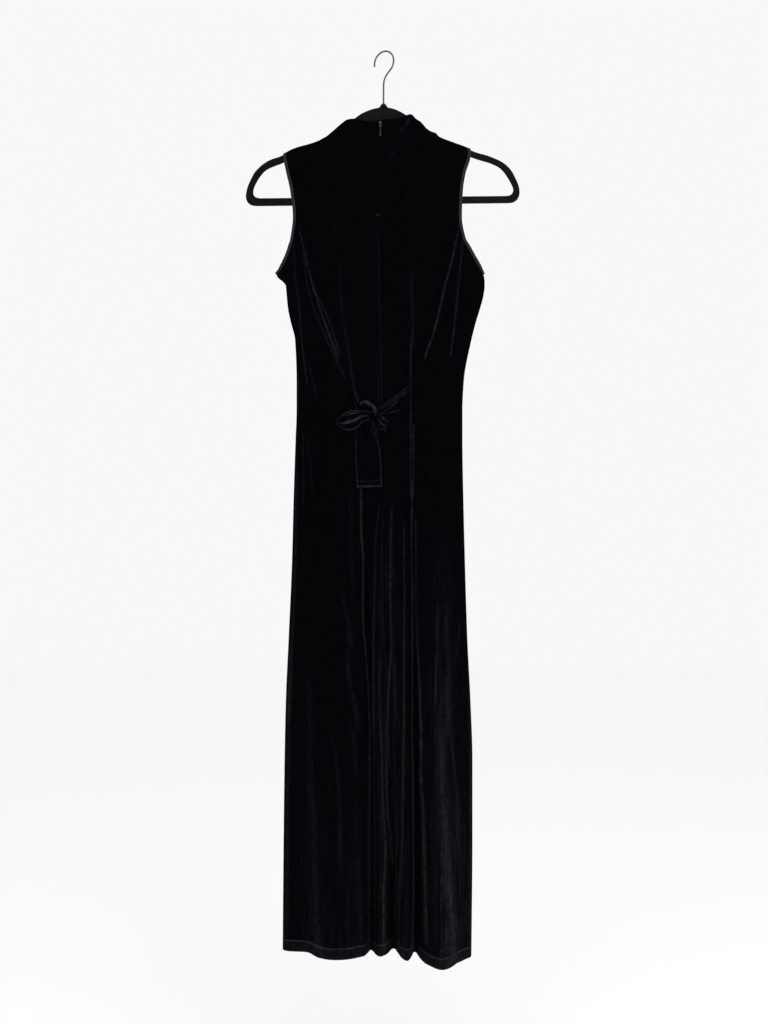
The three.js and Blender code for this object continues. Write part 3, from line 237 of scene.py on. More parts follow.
# Painted highlights of the back: light lines painted along fold crests, seam lips and edges, where the folds
# catch the light:
# width, width low, share, share low, and the line down the cloth as (level, across) points
BACK_PAINTED_HIGHLIGHTS = [
    # long left bust pull
    (1.2, 1.5, 0.3, 0.55, [(-293, -137.7), (-308, -133.7), (-367, -119.8), (-425, -102.4),
        (-500, -74.7)]),
    # second left bust pull
    (1.2, 1.5, 0.15, 0.35, [(-323, -132.8), (-388, -123.1), (-434, -108.4), (-486, -85.6),
        (-531, -64.4)]),
    # left side pull
    (1.2, 1.5, 0.2, 0.3, [(-300, -147.5), (-367, -144.3), (-412, -137.7), (-471, -133.7),
        (-541, -124.7)]),
    # left inner pull
    (1.2, 1.4, 0.25, 0.4, [(-388, -114.9), (-425, -95.4), (-496, -70.9)]),
    # left waist pull
    (1.3, 1.8, 0.2, 0.15, [(-505, -123.1), (-531, -116.5), (-565, -107.6)]),
    # left seam of the bodice
    (1.4, 1.6, 0.1, 0.4, [(-355, -72.5), (-425, -67.6), (-489, -57.9), (-554, -48.1), (-600, -43.2)]),
    # right bust pull
    (1.2, 1.5, 0.4, 0.65, [(-272, 124.7), (-321, 114.9), (-385, 98.6), (-453, 82.3), (-500, 66.0)]),
    # right side pull
    (1.2, 1.5, 0.3, 0.35, [(-300, 128.8), (-342, 124.7), (-391, 119.8), (-453, 113.3), (-496, 108.4)]),
    # swell on the right seam
    (2.5, 1.4, 0.1, 0.25, [(-355, 43.2), (-404, 44.8), (-437, 46.8), (-486, 45.6)]),
    # right seam at the waist
    (1.3, 1.3, 0.4, 0.5, [(-469, 44.0), (-512, 43.2), (-548, 43.2), (-608, 43.5), (-722, 43.7)]),
    # right seam, second line
    (1.1, 1.1, 0.35, 0.35, [(-608, 47.6), (-665, 47.8), (-730, 47.8)]),
    # centre seam of the bodice
    (1.0, 1.2, 0.1, 0.35, [(-269, -9.6), (-419, -7.3), (-518, -4.7), (-575, -4.1)]),
    # line beside the centre seam
    (1.0, 1.2, 0.08, 0.2, [(-486, -13.9), (-535, -9.8), (-567, -9.0)]),
    # neck crease
    (2.0, 2.2, 0.3, 0.28, [(-112, 39.9), (-121, 37.2), (-127, 32.1), (-132, 24.4)]),
    # faint neck crease
    (1.6, 1.6, 0.15, 0.1, [(-165, 17.1), (-173, 10.6), (-175, 0.8)]),
    # left neck crease
    (1.8, 1.8, 0.05, 0.04, [(-127, -69.3), (-134, -61.1), (-142, -54.6)]),
    # lip of the left groove
    (1.4, 1.7, 0.7, 0.5, [(-707, -37.5), (-779, -36.7), (-839, -33.4), (-910, -34.2),
        (-983, -28.9), (-1037, -25.3), (-1102, -22.7)]),
    # lip of the left groove, low
    (2.2, 2.8, 0.6, 0.55, [(-1102, -23.0), (-1178, -23.1), (-1260, -24.0), (-1341, -24.0),
        (-1456, -24.0)]),
    # left pipe, left lip
    (1.3, 1.5, 0.25, 0.45, [(-1056, -17.9), (-1154, -16.1), (-1317, -15.8), (-1456, -15.8)]),
    # left pipe, first line
    (1.5, 1.7, 0.15, 0.35, [(-738, -6.8), (-766, -10.9), (-807, -14.3), (-861, -15.0),
        (-934, -16.8), (-1102, -18.1)]),
    # left pipe, second line
    (1.0, 1.0, 0.2, 0.15, [(-738, -0.8), (-807, -2.9), (-888, -3.6), (-955, -4.4)]),
    # left pipe, third line
    (1.6, 1.9, 0.2, 0.35, [(-983, -5.4), (-1024, -7.7), (-1077, -6.5), (-1121, -4.4),
        (-1203, -2.4), (-1288, 2.9)]),
    # left pipe, right lip
    (2.2, 2.2, 0.5, 0.45, [(-1288, 2.9), (-1314, 2.0), (-1369, -0.8), (-1456, 0.2)]),
    # middle fold, upper
    (1.6, 2.0, 0.25, 0.5, [(-747, 12.7), (-784, 11.4), (-849, 10.1), (-888, 10.1), (-929, 11.4),
        (-967, 13.0)]),
    # middle fold, left branch
    (2.0, 2.2, 0.5, 0.45, [(-967, 13.0), (-1024, 8.1), (-1089, 5.7), (-1170, 4.9), (-1232, 6.0),
        (-1273, 10.1), (-1328, 14.2)]),
    # middle fold, right branch
    (2.0, 1.8, 0.45, 0.35, [(-991, 15.5), (-1040, 16.8), (-1113, 16.5), (-1178, 16.8),
        (-1236, 19.6), (-1288, 20.9)]),
    # middle fold, low
    (1.6, 1.8, 0.35, 0.12, [(-1288, 20.9), (-1341, 19.6), (-1382, 18.3), (-1415, 17.1)]),
    # fold left of the right pipe
    (1.3, 1.8, 0.25, 0.35, [(-766, 32.3), (-812, 32.3), (-888, 33.1), (-975, 32.1), (-1102, 31.8)]),
    # right pipe, left line
    (1.7, 2.2, 0.3, 0.45, [(-1102, 31.8), (-1178, 30.5), (-1288, 29.0), (-1369, 23.6), (-1456, 22.7)]),
    # lip of the right groove
    (1.4, 1.5, 0.6, 0.7, [(-707, 45.3), (-828, 44.8), (-888, 46.0), (-983, 46.1), (-1102, 45.3)]),
    # lip of the right groove, low
    (1.8, 2.2, 0.7, 0.8, [(-1102, 45.3), (-1178, 46.8), (-1260, 47.6), (-1350, 47.9), (-1460, 45.8)]),
    # roll right of the groove
    (1.5, 2.2, 0.3, 0.4, [(-760, 50.9), (-861, 50.9), (-914, 51.3), (-1011, 56.2), (-1102, 59.5)]),
    # roll right of the groove, low
    (2.4, 2.6, 0.4, 0.4, [(-1102, 59.5), (-1178, 59.3), (-1232, 63.1), (-1301, 64.7), (-1439, 68.5)]),
    # narrow right line
    (1.6, 1.6, 0.2, 0.35, [(-903, 86.1), (-970, 86.1), (-1011, 83.5), (-1063, 82.0)]),
    # right swell, start
    (4, 5, 0.1, 0.2, [(-893, 101.1), (-942, 99.8), (-983, 103.8), (-1040, 103.5), (-1102, 105.1)]),
    # right swell
    (8, 10, 0.12, 0.22, [(-1056, 90.5), (-1154, 91.6), (-1232, 97.0), (-1317, 100.2),
        (-1395, 107.9), (-1464, 110.5)]),
    # right swell, bright middle
    (3.0, 4.5, 0.2, 0.22, [(-1113, 92.1), (-1178, 92.9), (-1268, 98.6), (-1350, 105.1),
        (-1423, 110.0), (-1464, 110.8)]),
    # second right line
    (2.2, 3, 0.15, 0.2, [(-1102, 107.9), (-1154, 112.5), (-1219, 118.2), (-1301, 121.4)]),
    # right edge glow
    (3, 4, 0.1, 0.25, [(-828, 136.1), (-975, 138.5), (-1154, 141.0), (-1317, 141.8), (-1464, 141.8)]),
    # short right line
    (1.6, 1.6, 0.15, 0.2, [(-936, 122.7), (-967, 119.0), (-988, 116.1)]),
    # left glow beside the bow
    (3, 3, 0.06, 0.08, [(-714, -53.8), (-807, -53.8), (-869, -49.7)]),
    # left fold, upper
    (2.6, 3.0, 0.12, 0.13, [(-880, -68.8), (-910, -60.6), (-937, -55.1), (-975, -50.5)]),
    # left fold, patch
    (6, 6, 0.05, 0.05, [(-939, -59.5), (-962, -56.2), (-988, -54.6)]),
    # left fold, lower
    (3.0, 3.6, 0.14, 0.16, [(-983, -60.1), (-1024, -55.1), (-1060, -46.9), (-1095, -41.6)]),
    # left fold, foot
    (3.0, 3.6, 0.1, 0.08, [(-1092, -55.1), (-1125, -46.9), (-1170, -44.8)]),
    # left low glow
    (5, 6, 0.05, 0.12, [(-1219, -46.5), (-1268, -44.0), (-1341, -41.6), (-1447, -36.2)]),
    # left band
    (4, 6, 0.06, 0.16, [(-1007, -122.2), (-1097, -119.5), (-1178, -119.0), (-1244, -113.6),
        (-1369, -110.0), (-1464, -105.1)]),
    # thin left line
    (2.2, 2.8, 0.1, 0.17, [(-1113, -83.9), (-1178, -74.2), (-1260, -70.1), (-1324, -68.8)]),
    # left hip, edge band
    (2.2, 1.6, 0.18, 0.12, [(-531, -139.4), (-584, -141.0), (-632, -142.6), (-681, -143.6)]),
    # left hip, inner line
    (1.3, 1.5, 0.14, 0.1, [(-608, -132.0), (-665, -131.2), (-738, -130.4)]),
    # left hip, slanting line
    (1.4, 1.6, 0.12, 0.08, [(-632, -124.7), (-678, -119.0), (-711, -116.5)]),
    # left edge line
    (1.5, 2.4, 0.25, 0.2, [(-681, -143.3), (-779, -143.6), (-893, -146.7), (-991, -150.3),
        (-1089, -154.0)]),
    # left edge glow
    (3, 3, 0.2, 0.15, [(-958, -153.2), (-1040, -154.8), (-1219, -156.5), (-1447, -158.9)]),
]
# The same painted highlights for the front
FRONT_PAINTED_HIGHLIGHTS = [
    # left bust drape
    (1.3, 1.6, 0.3, 0.55, [(-296, -135), (-360, -124), (-430, -102), (-500, -75)]),
    # second left bust drape
    (1.2, 1.5, 0.15, 0.35, [(-320, -131), (-385, -121), (-440, -104), (-492, -86), (-530, -67)]),
    # left side pull
    (1.2, 1.5, 0.2, 0.3, [(-305, -146), (-370, -141), (-450, -131), (-535, -122)]),
    # left waist pull
    (1.3, 1.8, 0.2, 0.15, [(-505, -122), (-560, -112), (-598, -104)]),
    # right bust drape
    (1.3, 1.6, 0.4, 0.6, [(-285, 122), (-345, 112), (-410, 96), (-470, 78), (-512, 62)]),
    # second right bust drape
    (1.2, 1.4, 0.2, 0.3, [(-300, 128), (-350, 117), (-420, 100), (-470, 88)]),
    # right side pull
    (1.2, 1.5, 0.25, 0.3, [(-302, 129), (-360, 124), (-430, 115), (-500, 108)]),
    # neck drape
    (1.6, 1.6, 0.25, 0.15, [(-130, -30), (-150, -8), (-172, 12)]),
    # left pipe
    (1.6, 2.2, 0.2, 0.45, [(-650, -38), (-850, -40), (-1080, -41), (-1300, -46), (-1500, -50)]),
    # left pipe, second line
    (1.4, 2.0, 0.1, 0.35, [(-720, -32), (-900, -33), (-1150, -31), (-1400, -36)]),
    # lip of the left hollow
    (1.4, 2.2, 0.15, 0.5, [(-760, -57), (-950, -60), (-1200, -63), (-1500, -66)]),
    # far left pipe
    (2.4, 3.0, 0.1, 0.25, [(-820, -96), (-1050, -99), (-1250, -97), (-1500, -104)]),
    # thin far left line
    (1.4, 1.8, 0.1, 0.22, [(-1080, -118), (-1230, -114), (-1370, -117)]),
    # lip of the middle hollow
    (1.4, 2.0, 0.15, 0.5, [(-760, -15), (-980, -19), (-1250, -22), (-1500, -25)]),
    # middle fold
    (1.8, 2.4, 0.2, 0.5, [(-700, 3), (-860, 5), (-1060, 2), (-1300, -2), (-1420, 0)]),
    # right pipe
    (1.6, 2.2, 0.25, 0.5, [(-700, 26), (-900, 29), (-1120, 28), (-1320, 25), (-1500, 24)]),
    # right pipe, second line
    (1.4, 2.0, 0.15, 0.35, [(-760, 36), (-960, 38), (-1220, 37), (-1460, 34)]),
    # lip of the right hollow
    (1.4, 2.2, 0.2, 0.6, [(-800, 50), (-1000, 50), (-1250, 51), (-1500, 52)]),
    # roll right of the hollow
    (1.6, 2.4, 0.15, 0.4, [(-830, 69), (-1050, 72), (-1300, 73), (-1500, 75)]),
    # far right pipe
    (3.0, 4.5, 0.1, 0.35, [(-800, 88), (-1020, 93), (-1280, 95), (-1500, 99)]),
    # short far right line
    (1.4, 1.6, 0.1, 0.2, [(-900, 112), (-1010, 110), (-1090, 114)]),
]
# Painted sheen: broad soft light painted on the swells of the lower skirt, where the folds catch the light, and
# painted shade where a row's share is negative: width, width low, share, share low, (level, across) points
BACK_PAINTED_SHEEN = [
    # left of the left groove
    (16, 22, 0.0, 0.35, [(-1040, -64), (-1300, -62), (-1500, -60)]),
    # left edge of the skirt
    (22, 26, 0.0, 0.4, [(-1050, -118), (-1300, -116), (-1500, -112)]),
    # between the two grooves
    (20, 30, 0.2, 0.75, [(-780, 8), (-1000, 8), (-1300, 14), (-1500, 18)]),
    # painted shade in the hollow between the two middle pipes
    (4, 6, -0.1, -0.7, [(-1300, 13.0), (-1400, 13.6), (-1500, 14.4)]),
    # broad right swell
    (22, 30, 0.2, 0.9, [(-820, 96), (-1050, 94), (-1300, 104), (-1500, 108)]),
]
FRONT_PAINTED_SHEEN = [
    # far left
    (22, 30, 0.0, 0.5, [(-950, -90), (-1250, -88), (-1500, -92)]),
    # left of the middle
    (24, 32, 0.1, 0.55, [(-850, -30), (-1150, -34), (-1500, -38)]),
    # right
    (24, 34, 0.15, 0.8, [(-820, 70), (-1100, 74), (-1500, 78)]),
]


def curve(rows, column):
    """A smooth line through table rows that doesn't overshoot them, as a function of the first column."""
    order = np.argsort(rows[:, 0])
    at, value = rows[order, 0], rows[order, column]
    width = np.diff(at)
    step = np.diff(value) / width
    slope = np.empty_like(value)
    slope[0], slope[-1] = step[0], step[-1]
    product = step[:-1] * step[1:]
    total = step[:-1] + step[1:]
    total[total == 0] = 1
    slope[1:-1] = np.where(product > 0, 2 * product / total, 0)

    def through(q):
        q = np.clip(q, at[0], at[-1])
        i = np.clip(np.searchsorted(at, q, side="right") - 1, 0, len(at) - 2)
        t = (q - at[i]) / width[i]
        low = value[i] * (1 + 2 * t) * (1 - t) ** 2 + slope[i] * width[i] * t * (1 - t) ** 2
        return low + value[i + 1] * t * t * (3 - 2 * t) - slope[i + 1] * width[i] * t * t * (1 - t)

    return through


def mix(a, b, t):
    """From a to b as t goes from 0 to 1."""
    return a + (b - a) * t


def unit(a):
    """Vectors of length one."""
    return a / np.linalg.norm(a, axis=-1, keepdims=True)


def smooth(t):
    """An even rise from 0 to 1, level at both ends: c c (3 - 2 c)."""
    c = np.clip(t, 0, 1)
    return c * c * (3 - 2 * c)


left_edge, right_edge = curve(EDGES, 1), curve(EDGES, 2)
seam_left, seam_centre, seam_right = (curve(SEAMS, k) for k in (1, 2, 3))
upper_edge, hem_line = curve(UPPER_EDGE, 1), curve(HEM, 1)
edge_gap, edge_curl = curve(ARMHOLE, 1), curve(ARMHOLE, 2)
SEAM_LINES = {"left": seam_left, "centre": seam_centre, "right": seam_right}


def front_top(x):
    """Upper edge of the front, a little lower than the back's at the middle of the neck."""
    across = (x - NECK_MIDDLE) / NECK_HALF
    return upper_edge(x) - FRONT_NECK_DROP * np.maximum(0, 1 - across**2)


BACK = {"sign": -1, "folds": BACK_FOLDS, "painted_highlight": BACK_PAINTED_HIGHLIGHTS, "painted_sheen": BACK_PAINTED_SHEEN,
        "depth": curve(DEPTHS, 1), "top": upper_edge}
FRONT = {"sign": 1, "folds": FRONT_FOLDS, "painted_highlight": FRONT_PAINTED_HIGHLIGHTS, "painted_sheen": FRONT_PAINTED_SHEEN,
         "depth": curve(DEPTHS, 2), "top": front_top}


def fold_height(fold, x, z):
    """Height of one fold: a bell shaped ridge or groove along its line, fading in and out."""
    along, start_z, end_z, start, end, bend, wide, wide_low, high, high_low, fade = fold
    t = np.clip((start_z - z) / (start_z - end_z), 0, 1)
    base = SEAM_LINES[along](z) if along else 0
    path = base + mix(start, end, t) + bend * 4 * t * (1 - t)
    reach = (x - path) / mix(wide, wide_low, t)
    low = 1 if end_z < RUNS_OFF_HEM else smooth((z - end_z) / fade)
    return smooth((start_z - z) / fade) * low * mix(high, high_low, t) * np.exp(-(reach**2))


def wobble(x, z, size, seed):
    """Soft unevenness of worn cloth: a few waves of different directions."""
    rng = np.random.default_rng(seed)
    total = 0
    for _ in range(WAVES):
        a, b, phase = rng.uniform(-1, 1), rng.uniform(-0.35, 0.35), rng.uniform(0, 6.28)
        total = total + np.sin(6.28 * (a * x + b * z) / size + phase)
    return total / WAVES


def seam_dips(side, x, z):
    """The narrow dip along each seam, puckered a little unevenly; it hardly shows in the upper back."""
    if side is FRONT:
        return 0
    deep = SEAM_DIP * (0.1 + 0.9 * smooth((-330 - z) / 170))
    pucker = 1 + 0.35 * np.sin(z / 2.6 + 2 * np.sin(z / 37)) * (0.6 + 0.4 * np.sin(z / 61))
    total = 0
    for line in SEAM_LINES.values():
        away = (x - line(z)) / SEAM_DIP_WIDTH
        total = total - deep * pucker * np.exp(-(away**2))
        total = total + 0.35 * deep * np.exp(-((np.abs(away) - 2.2) ** 2))
    return total


def hem_dip(x, z):
    """The dip of the hem stitch line and the thicker turned up hem below it."""
    up = z - hem_line(x)
    line = np.exp(-(((up - HEM_DEPTH) / 1.3) ** 2))
    return 0.5 * smooth((HEM_DEPTH - up) / 2) - 0.7 * line


def cloth_depth(side, x, z, fine=True):
    """Distance of the cloth from the middle plane; fine adds seams, hem and unevenness."""
    left, right = left_edge(z), right_edge(z)
    w = np.minimum(1, np.abs((2 * x - left - right) / (right - left)))
    profile = mix(1 - w**3, np.sqrt(np.maximum(0, 1 - w**3.2)), edge_curl(z))
    gap = edge_gap(z)
    depth = gap + (side["depth"](z) - gap) * profile
    calm = smooth((1 - w) / 0.14)
    folds = sum(fold_height(fold, x, z) for fold in side["folds"])
    if fine:
        folds = folds + seam_dips(side, x, z) + hem_dip(x, z)
        folds = folds + 0.35 * wobble(x, z, 60, 3) + 0.14 * wobble(x, z, 21, 5)
    depth = depth + calm * folds
    below = side["top"](x) - z
    across = np.abs((x - NECK_MIDDLE) / NECK_HALF)
    opened = SEAM + (depth - SEAM) * np.sqrt(np.maximum(0, 1 - across**2))
    neck = depth - (depth - opened) * np.maximum(0, 1 - below / NECK_REACH) ** 2
    near = np.clip(1 - below / CAP, 0, 1)
    shoulder = SEAM + (depth - SEAM) * np.sqrt(1 - near**2)
    return mix(neck, shoulder, smooth((across - 0.94) / 0.08))


def panel_surface(side, across):
    """Point of a panel at u across and v up: v 0 to 1 is hem to underarm, then up to 3 at the top edge."""

    def surface(u, v):
        u, v = np.broadcast_arrays(np.asarray(u, float), np.asarray(v, float))
        top, hem = np.full(u.shape, FIRST_TOP), np.full(u.shape, FIRST_HEM)
        for _ in range(10):
            top = side["top"](across(u, top))
            hem = hem_line(across(u, hem))
        z = top - CAP * (1 - np.cos((3 - v) * np.pi))
        z = np.where(v <= 2.5, top - mix(NECK_REACH, CAP, (v - 2) * 2), z)
        z = np.where(v <= 2, mix(UNDERARM, top - NECK_REACH, v - 1), z)
        z = np.where(v <= 1, mix(hem, UNDERARM, v), z)
        x = across(u, z)
        return np.stack([x, side["sign"] * cloth_depth(side, x, z), z], -1)

    return surface


def side_column(seam, sign, edge):
    """Across a side panel: u 0 at its princess seam, 1 at its armhole edge or side seam."""

    def across(u, z):
        t = u**1.3
        return mix(seam(z) + sign * SEAM, edge(z), mix(t, np.sin(t * np.pi / 2), edge_curl(z)))

    return across


def middle_column(first, second):
    """Across a panel between two seams."""
    return lambda u, z: mix(first(z) + SEAM, second(z) - SEAM, u)


def front_column(u, z):
    """Across the whole front, from edge to edge."""
    s = mix(2 * u - 1, np.sin(np.pi / 2 * (2 * u - 1)), edge_curl(z))
    return mix(left_edge(z), right_edge(z), (1 + s) / 2)


def mesh_object(name, points, faces, material, body="dress"):
    """A smooth shaded object from points in millimetres and faces of three or four corners."""
    mesh = bpy.data.meshes.new(name)
    mesh.from_pydata((np.asarray(points, float).reshape(-1, 3) / 1000).tolist(), [], faces)
    mesh.polygons.foreach_set("use_smooth", np.ones(len(mesh.polygons), bool))
    mesh.materials.append(material)
    mesh.update()
    made = bpy.data.objects.new(name, mesh)
    scene.collection.objects.link(made)
    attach(made, body)
    return made


def grid_faces(rows, columns, wrap_rows=False, wrap_columns=False):
    """Four cornered faces of a grid of points, joined at its ends where it wraps."""
    i = np.arange(rows if wrap_rows else rows - 1)[:, None]
    j = np.arange(columns if wrap_columns else columns - 1)[None, :]
    a = i * columns + j
    b = i * columns + (j + 1) % columns
    c = ((i + 1) % rows) * columns + (j + 1) % columns
    d = ((i + 1) % rows) * columns + j
    return np.stack([a, b, c, d], -1).reshape(-1, 4).tolist()


def facing(points, faces, outward):
    """The same faces, turned so that their normals point along outward on the whole."""
    p = np.asarray(points, float).reshape(-1, 3)
    f = np.asarray([face[:3] for face in faces])
    normal = np.cross(p[f[:, 1]] - p[f[:, 0]], p[f[:, 2]] - p[f[:, 0]]).sum(0)
    return faces if normal @ np.asarray(outward, float) > 0 else [face[::-1] for face in faces]


def thicken(made, thickness, offset=-1):
    """Gives a single layer of cloth its thickness, on the inner side or, with offset 0, on both sides."""
    shell = made.modifiers.new("thickness", "SOLIDIFY")
    shell.thickness, shell.offset = thickness / 1000, offset


def panel_rows(hem, low, high, band):
    """Values of v from the hem up, close together over the turned up hem and along the top edge."""
    hem_rows = 0.02 * np.arange(hem) / hem
    low_rows = 1 - 0.98 * (np.arange(low, 0, -1) / low) ** 1.15
    return np.concatenate([hem_rows, low_rows, 1 + np.arange(high) / high, np.linspace(2, 3, band)])


def surface_normal(surface, u, v, outward, step=1e-4):
    """Direction square to a surface at u, v: the cross product of its two slopes, on the side of outward."""
    across = surface(np.minimum(1, u + step), v) - surface(np.maximum(0, u - step), v)
    along = surface(u, np.minimum(3, v + step)) - surface(u, np.maximum(0, v - step))
    normal = unit(np.cross(across, along))
    return normal if (normal @ np.asarray(outward, float)).sum() > 0 else -normal


def turned_hem(surface, u, outward):
    """The hem's fold: a half circle under the edge, then straight up inside by the hem's depth."""
    up = np.linspace(HEM_DEPTH, 0, HEM_STEPS)[:, None]
    v = up / (UNDERARM - MEAN_HEM)
    inside = surface(u, v) - 2 * HEM_TURN * surface_normal(surface, u, v, outward)
    edge, normal = surface(u, 0.0), surface_normal(surface, u, 0.0, outward)
    angle = np.linspace(np.pi, 0, HEM_STEPS)[1:-1, None, None]
    round_it = edge - normal * HEM_TURN * (1 - np.cos(angle)) - np.array([0, 0, 1]) * HEM_TURN * np.sin(angle)
    return np.concatenate([inside, round_it])


def set_attribute(made, name, values, kind="FLOAT", key="value"):
    """Stores one number or, as FLOAT_VECTOR, one vector for each vertex, for the material to read."""
    kept = made.data.attributes.new(name, kind, "POINT")
    kept.data.foreach_set(key, np.asarray(values, np.float32).ravel())


def soft_line(line, x, z):
    """A soft line of the given width and share through its (level, across) points, fading at its ends."""
    wide, wide_low, share, share_low, points = line
    first, last = points[0][0], points[-1][0]
    t = np.clip((first - z) / (first - last), 0, 1)
    fade = min(15 * wide, 0.3 * (first - last))
    low = 1 if last < RUNS_OFF_HEM else smooth((z - last + fade / 2) / fade)
    reach = (x - curve(np.array(points, float), 1)(z)) / mix(wide, wide_low, t)
    return smooth((first + fade / 2 - z) / fade) * low * mix(share, share_low, t) * np.exp(-(reach**2))


def painted_highlight_share(side, x, z):
    """Share of painted highlight: the sum of soft lines, with painted highlights along the hem's stitch line and
    lower edge.
    """
    total = sum(soft_line(line, x, z) for line in side["painted_highlight"])
    up = z - hem_line(x)
    # painted highlights along the hem's stitch line and its lower edge, and a little over the turned up hem
    total = total + 0.8 * np.exp(-(((up - HEM_DEPTH - 0.8) / 1.1) ** 2)) + 0.5 * smooth((2.0 - up) / 2)
    return total + 0.12 * smooth((HEM_DEPTH - up) / 2)


def painted_sheen_share(side, x, z):
    """The broad painted sheen of the lower skirt, to be broken into streaks by the material; negative rows paint
    shade.
    """
    return np.clip(sum(soft_line(line, x, z) for line in side["painted_sheen"]), 0, 1)


def add_panel(name, side, across, columns):
    """One panel of the dress: its surface with the turned up hem, its painted highlights and painted sheen, and
    its thickness.
    """
    surface = panel_surface(side, across)
    outward = (0, side["sign"], 0)
    u = np.linspace(0, 1, columns)[None, :]
    v = panel_rows(*PANEL_ROWS)[:, None]
    points = np.concatenate([turned_hem(surface, u, outward), surface(u, v)])
    faces = facing(points, grid_faces(points.shape[0], columns), outward)
    made = mesh_object(name + "_cloth", points, faces, VELVET)
    set_attribute(made, "painted_highlight", painted_highlight_share(side, points[..., 0], points[..., 2]))
    set_attribute(made, "painted_sheen", painted_sheen_share(side, points[..., 0], points[..., 2]))
    thicken(made, CLOTH_THICKNESS)
    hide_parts(name)
    return made


def new_group(name, inputs, outputs):
    """An empty node group with named sockets, its input node and its output node."""
    group = bpy.data.node_groups.new(name, "ShaderNodeTree")
    for socket, kind, value in inputs:
        made = group.interface.new_socket(socket, in_out="INPUT", socket_type=kind)
        if value is not None:
            made.default_value = value
    for socket, kind in outputs:
        group.interface.new_socket(socket, in_out="OUTPUT", socket_type=kind)
    return group, group.nodes.new("NodeGroupInput"), group.nodes.new("NodeGroupOutput")


def noise(tree, vector, scale, detail=3.0, stretch=(1, 1, 1), roughness=0.5):
    """A noise value from a stretched vector."""
    mapping = tree.nodes.new("ShaderNodeMapping")
    mapping.inputs["Scale"].default_value = stretch
    tree.links.new(vector, mapping.inputs["Vector"])
    made = tree.nodes.new("ShaderNodeTexNoise")
    made.inputs["Scale"].default_value = scale
    made.inputs["Detail"].default_value = detail
    made.inputs["Roughness"].default_value = roughness
    tree.links.new(mapping.outputs["Vector"], made.inputs["Vector"])
    return made.outputs["Fac"]


def remap(tree, value, low, high, to_low, to_high):
    made = tree.nodes.new("ShaderNodeMapRange")
    for socket, number in (("From Min", low), ("From Max", high), ("To Min", to_low), ("To Max", to_high)):
        made.inputs[socket].default_value = number
    tree.links.new(value, made.inputs["Value"])
    return made.outputs["Result"]


def set_or_link(tree, socket, value):
    """Gives a socket a constant, or links it to another socket."""
    if isinstance(value, (int, float, tuple)):
        socket.default_value = value
    else:
        tree.links.new(value, socket)


def calculate(tree, operation, first, second):
    made = tree.nodes.new("ShaderNodeMath")
    made.operation = operation
    for socket, value in zip(made.inputs, (first, second)):
        set_or_link(tree, socket, value)
    return made.outputs["Value"]


def add(tree, first, second):
    return calculate(tree, "ADD", first, second)


def times(tree, first, second):
    return calculate(tree, "MULTIPLY", first, second)


def blend_colours(tree, share, first, second):
    made = tree.nodes.new("ShaderNodeMix")
    made.data_type = "RGBA"
    tree.links.new(share, made.inputs["Factor"])
    for socket, value in (("A", first), ("B", second)):
        target = [s for s in made.inputs if s.name == socket and s.type == "RGBA"][0]
        set_or_link(tree, target, value)
    return [s for s in made.outputs if s.type == "RGBA"][0]


def make_nap_group():
    """Short nap: fine grain, faint clusters and broad soft marks where the nap lies another way."""
    group, given, result = new_group(
        "velvet_nap",
        [("Vector", "NodeSocketVector", None), ("Deep", "NodeSocketColor", (0, 0, 0, 1)),
         ("Lit", "NodeSocketColor", (0.02, 0.02, 0.02, 1)), ("Grain", "NodeSocketFloat", 1300.0)],
        [("Color", "NodeSocketColor"), ("Roughness", "NodeSocketFloat"), ("Height", "NodeSocketFloat")],
    )
    vector = given.outputs["Vector"]
    marks = remap(group, noise(group, vector, 7.0, 3.0, (1.6, 1.0, 0.45)), 0.35, 0.72, 0.0, 1.0)
    clusters = noise(group, vector, 130.0, 2.0, (1.0, 1.0, 0.5))
    grain_node = group.nodes.new("ShaderNodeTexNoise")
    grain_node.inputs["Detail"].default_value = 2.0
    group.links.new(vector, grain_node.inputs["Vector"])
    group.links.new(given.outputs["Grain"], grain_node.inputs["Scale"])
    grain = grain_node.outputs["Fac"]
    share = times(group, marks, remap(group, clusters, 0.3, 0.7, 0.55, 1.0))
    colour = blend_colours(group, share, given.outputs["Deep"], given.outputs["Lit"])
    group.links.new(colour, result.inputs["Color"])
    group.links.new(remap(group, clusters, 0.3, 0.7, 0.82, 0.98), result.inputs["Roughness"])
    height = add(group, times(group, grain, 0.7), times(group, clusters, 0.3))
    group.links.new(height, result.inputs["Height"])
    return group


NAP = make_nap_group()


def new_material(name):
    """A node material: itself, its node tree, its shader, and its object coordinates."""
    made = bpy.data.materials.new(name)
    made.use_nodes = True
    tree = made.node_tree
    return made, tree, tree.nodes["Principled BSDF"], tree.nodes.new("ShaderNodeTexCoord").outputs["Object"]


def read_attribute(tree, name, output="Fac"):
    made = tree.nodes.new("ShaderNodeAttribute")
    made.attribute_name = name
    return made.outputs[output]


def set_values(shader, **values):
    """Sets sockets of a shader, named with low lines for spaces."""
    for socket, value in values.items():
        shader.inputs[socket.replace("_", " ")].default_value = value


def add_relief(tree, shader, height, strength, distance):
    """Bump of the surface from a height."""
    relief = tree.nodes.new("ShaderNodeBump")
    relief.inputs["Strength"].default_value = strength
    relief.inputs["Distance"].default_value = distance
    tree.links.new(height, relief.inputs["Height"])
    tree.links.new(relief.outputs["Normal"], shader.inputs["Normal"])


